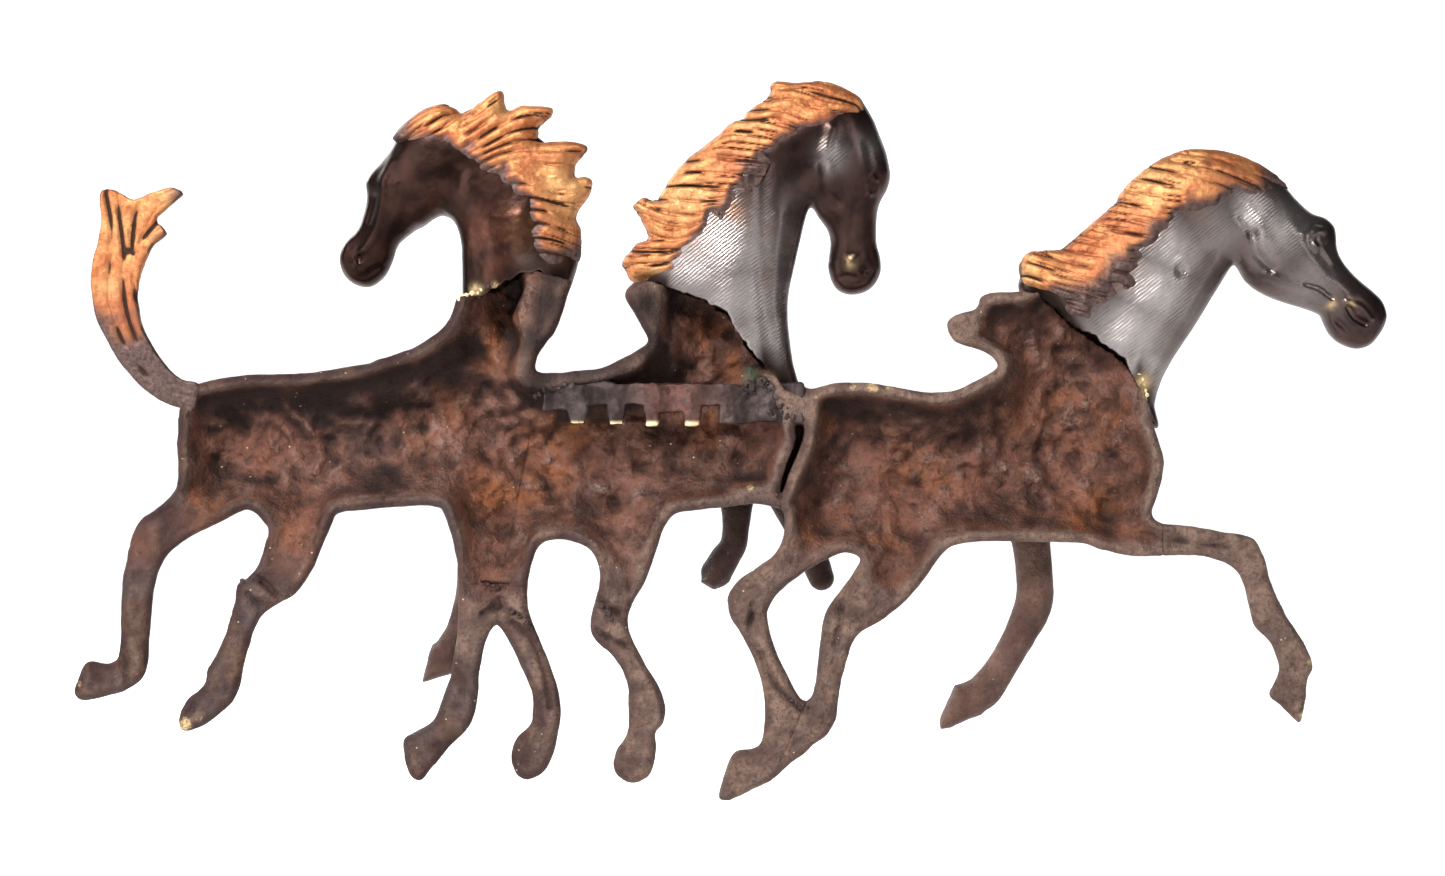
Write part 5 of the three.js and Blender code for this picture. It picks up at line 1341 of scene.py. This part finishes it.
def barTree():
    nodes = NodeTree("toothed hanger bar")
    count = nodes.size("teeth", bar["teeth"], "NodeSocketInt")
    pitch = nodes.size("tooth pitch", bar["pitch"] * mm)
    width = nodes.size("tooth width", bar["toothWidth"] * mm)
    drop = nodes.size("tooth drop", bar["toothDrop"] * mm)
    seed = nodes.size("seed", bar["seed"], "NodeSocketInt")
    step = nodes.add("ShaderNodeCombineXYZ", None, X=pitch)
    start = nodes.add("ShaderNodeCombineXYZ", None, X=bar["firstTooth"] * mm, Y=-bar["thickness"] / 2 * mm,
                      Z=nodes.maths("MULTIPLY", drop, -0.42))
    row = nodes.add("GeometryNodeMeshLine", {"mode": "OFFSET"}, Count=count, Start_Location=start,
                    Offset=step)
    block = nodes.add("ShaderNodeCombineXYZ", None, X=width, Y=bar["thickness"] * mm,
                      Z=nodes.maths("MULTIPLY", drop, 1.2))
    tooth = nodes.add("GeometryNodeMeshCube", None, Size=block, Vertices_X=7, Vertices_Y=5, Vertices_Z=7)
    # teeth taper a little towards their tips
    place = nodes.add("GeometryNodeInputPosition")
    parts = nodes.tree.nodes.new("ShaderNodeSeparateXYZ")
    nodes.tree.links.new(place, parts.inputs[0])
    taper = nodes.add("ShaderNodeMapRange", None, Value=parts.outputs[2], From_Min=-5.0 * mm,
                      From_Max=2.0 * mm,
                      To_Min=0.80, To_Max=1.06)
    narrowed = nodes.add("ShaderNodeCombineXYZ", None, X=nodes.maths("MULTIPLY", parts.outputs[0], taper),
                         Y=parts.outputs[1],
                         Z=parts.outputs[2])
    tooth = nodes.add("GeometryNodeSetPosition", None, Geometry=tooth, Position=narrowed)
    # uneven as cast
    random = {"data_type": "FLOAT_VECTOR"}
    uneven = nodes.add("FunctionNodeRandomValue", random, _0=(0.86, 1.0, 0.93), _1=(1.10, 1.04, 1.08),
                       Seed=seed)
    slip = nodes.add("FunctionNodeRandomValue", random, _0=(-0.0005, 0.0, -0.0004), _1=(0.0005, 0.0, 0.0003),
                     Seed=nodes.maths("ADD", seed, 1))
    row = nodes.add("GeometryNodeSetPosition", None, Geometry=row, Offset=slip)
    teeth = nodes.add("GeometryNodeInstanceOnPoints", None, Points=row, Instance=tooth, Scale=uneven)
    teeth = nodes.add("GeometryNodeRealizeInstances", None, Geometry=teeth)
    joined = nodes.tree.nodes.new("GeometryNodeJoinGeometry")
    nodes.tree.links.new(teeth, joined.inputs[0])
    blocks = ((bar["left"], bar["right"], -0.4, bar["top"]), (-3.0, bar["right"], -6.8, 0.4),
              (bar["left"], 49.0, -2.4, 0.4), (19.0, 3.4, -3.0, 1.0))
    for left, right, low, high in blocks:
        sizes = ((left - right) * mm, bar["thickness"] * mm, (high - low) * mm)
        box = nodes.add("GeometryNodeMeshCube", None, Size=sizes, Vertices_X=24, Vertices_Y=5, Vertices_Z=6)
        box = nodes.add("GeometryNodeTransform", None, Geometry=box,
                        Translation=((left + right) / 2 * mm, -bar["thickness"] / 2 * mm,
                                     (high + low) / 2 * mm))
        nodes.tree.links.new(box, joined.inputs[0])
    united = nodes.tree.nodes.new("GeometryNodeMeshBoolean")
    united.operation, united.solver = "UNION", "EXACT"
    nodes.tree.links.new(joined.outputs[0], united.inputs["Mesh 2"])
    united.inputs["Self Intersection"].default_value = True
    solid = nodes.add("GeometryNodeMeshToVolume", {"resolution_mode": "VOXEL_SIZE"}, Mesh=united.outputs[0],
                      Density=1.0,
                      Voxel_Size=bar["voxel"] * mm, Interior_Band_Width=1.2 * mm)
    remeshed = nodes.add("GeometryNodeVolumeToMesh", {"resolution_mode": "VOXEL_SIZE"}, Volume=solid,
                         Voxel_Size=bar["mesh"] * mm,
                         Threshold=0.45, Adaptivity=0.0)
    dents = nodes.add("ShaderNodeTexNoise", {"noise_dimensions": "3D"}, Scale=230.0, Detail=2.0)
    swell = nodes.add("ShaderNodeTexNoise", {"noise_dimensions": "3D"}, Scale=85.0, Detail=1.0)
    push = nodes.maths("ADD",
                       nodes.maths("MULTIPLY", nodes.maths("SUBTRACT", dents, 0.50), bar["dents"] * mm),
                       nodes.maths("MULTIPLY", nodes.maths("SUBTRACT", swell, 0.52), bar["waves"] * mm))
    moved = nodes.add("ShaderNodeVectorMath", {"operation": "SCALE"}, _0=nodes.add("GeometryNodeInputNormal"),
                      Scale=push)
    shaped = nodes.add("GeometryNodeSetPosition", None, Geometry=remeshed, Offset=moved)
    # the wall face swells over each tooth and sinks between them
    turn = nodes.maths("DIVIDE", nodes.maths("SUBTRACT", parts.outputs[0], bar["firstTooth"] * mm), pitch)
    wave = nodes.maths("COSINE", nodes.maths("MULTIPLY", turn, math.tau))
    sink = nodes.maths("SUBTRACT", 0.5, nodes.maths("MULTIPLY", 0.5, wave))
    onFace = nodes.add("ShaderNodeMapRange", None, Value=parts.outputs[1], From_Min=-4.0 * mm,
                       From_Max=-0.5 * mm)
    inward = nodes.maths("MULTIPLY", nodes.maths("MULTIPLY", sink, onFace), -bar["swell"] * mm)
    push = nodes.add("ShaderNodeCombineXYZ", None, Y=inward)
    shaped = nodes.add("GeometryNodeSetPosition", None, Geometry=shaped, Offset=push)
    nodes.finish(shaped, barMetal)
    return nodes


barPiece = barTree().result("toothed_bar", bpy.data.meshes.new("bar guide"))
barPoints = np.zeros(len(barPiece.data.vertices) * 3, np.float32)
barPiece.data.vertices.foreach_get("co", barPoints)
barPoints = barPoints.reshape(-1, 3) / mm
if barPoints[:, 1].max() > -bar["wallGap"]:
    barPoints[:, 1] = np.minimum(barPoints[:, 1], -bar["wallGap"])
    barPiece.data.vertices.foreach_set("co", (barPoints * mm).ravel())
tips = ramp(-barPoints[:, 2], 5.2, 6.8) * ramp(barPoints[:, 0], 1.0, 3.0) * ramp(barPoints[:, 1], -3.4, -1.6)
setMarks(barPiece.data,
         {"worn": np.clip(tips * 1.2, 0, 1), "rust": np.exp(-((barPoints[:, 0] - 12) / 14) ** 2) * 0.7})
pieces["toothed_bar"] = (barPiece, "bar_bronze", ("hanger_bar",))


# Brazing runs: [points], each with how many beads it takes and their size.
brazing = {
    "runs": [([[88, -1.4, 37.4], [84, -2.0, 39.2], [80, -2.4, 40]], 7, 1.5),
             ([[78, -2.6, 41.6], [72, -2.4, 44]], 5, 0.7),
             ([[-13, -0.6, 5], [-18, -0.4, 8], [-23, -0.8, 4], [-27, -0.8, -1]], 12, 2.3),
             ([[-21, -0.6, -3], [-29, -0.6, -4]], 5, 2.2),
             ([[-151, -2.0, 11], [-152.6, -2.0, 6], [-153.4, -2.0, 2]], 6, 1.1),
             ([[70, -0.8, -70], [66, -0.4, -74], [63, -0.6, -77]], 7, 1.9),
             ([[38, -0.6, -71], [34, -0.4, -75], [38, -0.5, -79]], 6, 1.8),
             ([[61, -1.0, 3], [56, -0.8, 6], [48, -1.0, 7]], 7, 1.6),
             ([[164, -0.6, -62], [158, -0.5, -61]], 4, 1.3), ([[-29, -0.8, -104], [-34, -0.6, -106]], 4, 1.2),
             ([[72, -0.8, -64], [76, -0.5, -63], [80, -0.7, -63]], 5, 1.2)],
    "brightRuns": (0, 4), "bright": 0.9, "jitter": 0.35, "voxel": 0.25, "mesh": 0.3, "seed": 11,
}


def beadTree():
    nodes = NodeTree("brazing beads")
    path = nodes.entry.outputs[0]
    size = nodes.size("bead size", 1.5 * mm)
    seed = nodes.size("seed", brazing["seed"], "NodeSocketInt")
    random = {"data_type": "FLOAT_VECTOR"}
    wide = nodes.add("FunctionNodeRandomValue", random, _0=(0.6, 0.25, 0.6), _1=(1.25, 0.55, 1.25), Seed=seed)
    turned = nodes.add("FunctionNodeRandomValue", random, _0=(0.0, -1.5, 0.0), _1=(0.0, 1.5, 0.0),
                       Seed=nodes.maths("ADD", seed, 1))
    bead = nodes.add("GeometryNodeMeshIcoSphere", None, Radius=size, Subdivisions=3)
    beads = nodes.add("GeometryNodeInstanceOnPoints", None, Points=path, Instance=bead, Scale=wide,
                      Rotation=turned)
    beads = nodes.add("GeometryNodeRealizeInstances", None, Geometry=beads)
    solid = nodes.add("GeometryNodeMeshToVolume", {"resolution_mode": "VOXEL_SIZE"}, Mesh=beads, Density=1.0,
                      Voxel_Size=brazing["voxel"] * mm,
                      Interior_Band_Width=0.8 * mm)
    skinned = nodes.add("GeometryNodeVolumeToMesh", {"resolution_mode": "VOXEL_SIZE"}, Volume=solid,
                        Voxel_Size=brazing["mesh"] * mm,
                        Threshold=0.4, Adaptivity=0.0)
    nodes.finish(skinned, barMetal)
    return nodes


beads = beadTree()
for number, (run, count, size) in enumerate(brazing["runs"]):
    line = np.array(run, float)
    along = np.linspace(0, len(line) - 1, count)
    points = np.stack([np.interp(along, range(len(line)), line[:, c]) for c in range(3)], 1)
    shake = np.random.RandomState(brazing["seed"] + number).uniform(-1, 1, (count, 2))
    points[:, [0, 2]] += shake * brazing["jitter"] * size
    guide = bpy.data.meshes.new("bead guide")
    guide.from_pydata((points * mm).tolist(), [], [])
    piece = beads.result(f"brazing_{number + 1}", guide,
                         **{"bead size": size * mm, "seed": brazing["seed"] + number})
    plain = np.zeros(len(piece.data.vertices))
    setMarks(piece.data,
             {"worn": plain + (brazing["bright"] if number in brazing["brightRuns"] else 0.0), "rust": plain})
    pieces[piece.name] = (piece, "bar_bronze", ())

for piece, slot, nodes in pieces.values():
    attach(piece, "root")
    if nodes:
        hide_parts(*nodes)


def plainMaterial(name, colour, glow):
    material = bpy.data.materials.new(name)
    material.use_nodes = True
    shader = material.node_tree.nodes["Principled BSDF"]
    shader.inputs["Base Color"].default_value = (*colour, 1)
    shader.inputs["Roughness"].default_value = 0.9
    shader.inputs["Emission Strength"].default_value = glow
    # only the far part glows, so that the near floor throws little light up into the hollows
    place = Shade(material.node_tree, None).node("ShaderNodeTexCoord").pick(3)
    depth = place.node("ShaderNodeSeparateXYZ", None, Vector=place).pick(1)
    far = depth.between(0.05, -0.22)
    setShader(material.node_tree, shader, Emission_Color=far.mixed((0.02, 0.02, 0.02), colour))
    return material


backdrop = {"front": 3.6, "bend": -3.2, "radius": 0.8, "wall": -4.0, "height": 3.6, "halfWidth": 4.5,
            "colour": (0.93, 0.93, 0.93), "glow": 0.80}


def sweep():
    # pale floor that curves up behind the piece
    ground, bend, radius = stage["floor"] * mm, backdrop["bend"], backdrop["radius"]
    profile = [(backdrop["front"], ground), (bend, ground)]
    profile += [(bend - radius * math.sin(a), ground + radius * (1 - math.cos(a)))
                for a in np.linspace(0.1, math.pi / 2, 14)]
    profile += [(backdrop["wall"], backdrop["height"])]
    mesh = bpy.data.meshes.new("floor")
    points = [(x, y, z) for x in (-backdrop["halfWidth"], backdrop["halfWidth"]) for y, z in profile]
    n = len(profile)
    mesh.from_pydata(points, [], [(i, i + 1, n + i + 1, n + i) for i in range(n - 1)])
    mesh.polygons.foreach_set("use_smooth", np.ones(n - 1, bool))
    piece = bpy.data.objects.new("floor", mesh)
    bpy.context.scene.collection.objects.link(piece)
    mesh.materials.append(plainMaterial("pale paper", backdrop["colour"], backdrop["glow"]))
    return piece


sweep()


def softLight(name, place, aim, size, power, colour=(1, 1, 1)):
    lamp = bpy.data.lights.new(name, "AREA")
    lamp.shape, lamp.size, lamp.size_y = "RECTANGLE", size[0], size[1]
    lamp.energy, lamp.color = power, colour
    light = bpy.data.objects.new(name, lamp)
    light.location = place
    toward = np.array(aim) - np.array(place)
    flatReach = math.hypot(toward[0], toward[1])
    light.rotation_euler = (math.atan2(flatReach, -toward[2]), 0, math.atan2(-toward[0], toward[1]))
    bpy.context.scene.collection.objects.link(light)


softLight("key", (0.45, 0.95, 0.90), (0, 0, -0.02), (0.3, 0.3), 25, (1.0, 0.98, 0.96))
softLight("left box", (1.05, 0.75, 0.30), (0, 0, 0), (0.8, 0.9), 9, (0.93, 0.96, 1.0))
softLight("fill", (-0.95, 1.0, 0.35), (-0.1, 0, 0.02), (0.5, 0.9), 4.0, (0.95, 0.97, 1.0))
softLight("relief side", (0.9, -1.0, 0.8), (0, 0, 0), (1.0, 1.0), 16)

world = bpy.data.worlds.new("studio")
world.use_nodes = True
world.node_tree.nodes["Background"].inputs[0].default_value = (*stage["skyColour"], 1)
world.node_tree.nodes["Background"].inputs[1].default_value = stage["skyStrength"]
bpy.context.scene.world = world
bpy.context.scene.view_settings.view_transform = "Standard"

lens = bpy.data.cameras.new("camera")
lens.sensor_width = stage["sensor"]
lens.lens = stage["sensor"] * stage["viewDistance"] / stage["frameWidth"]
lens.clip_start = 0.05
camera = bpy.data.objects.new("camera", lens)
camera.location = (stage["axisX"] * mm, stage["viewDistance"] * mm, stage["axisZ"] * mm)
camera.rotation_euler = (math.pi / 2, 0, math.pi)
bpy.context.scene.collection.objects.link(camera)
bpy.context.scene.camera = camera
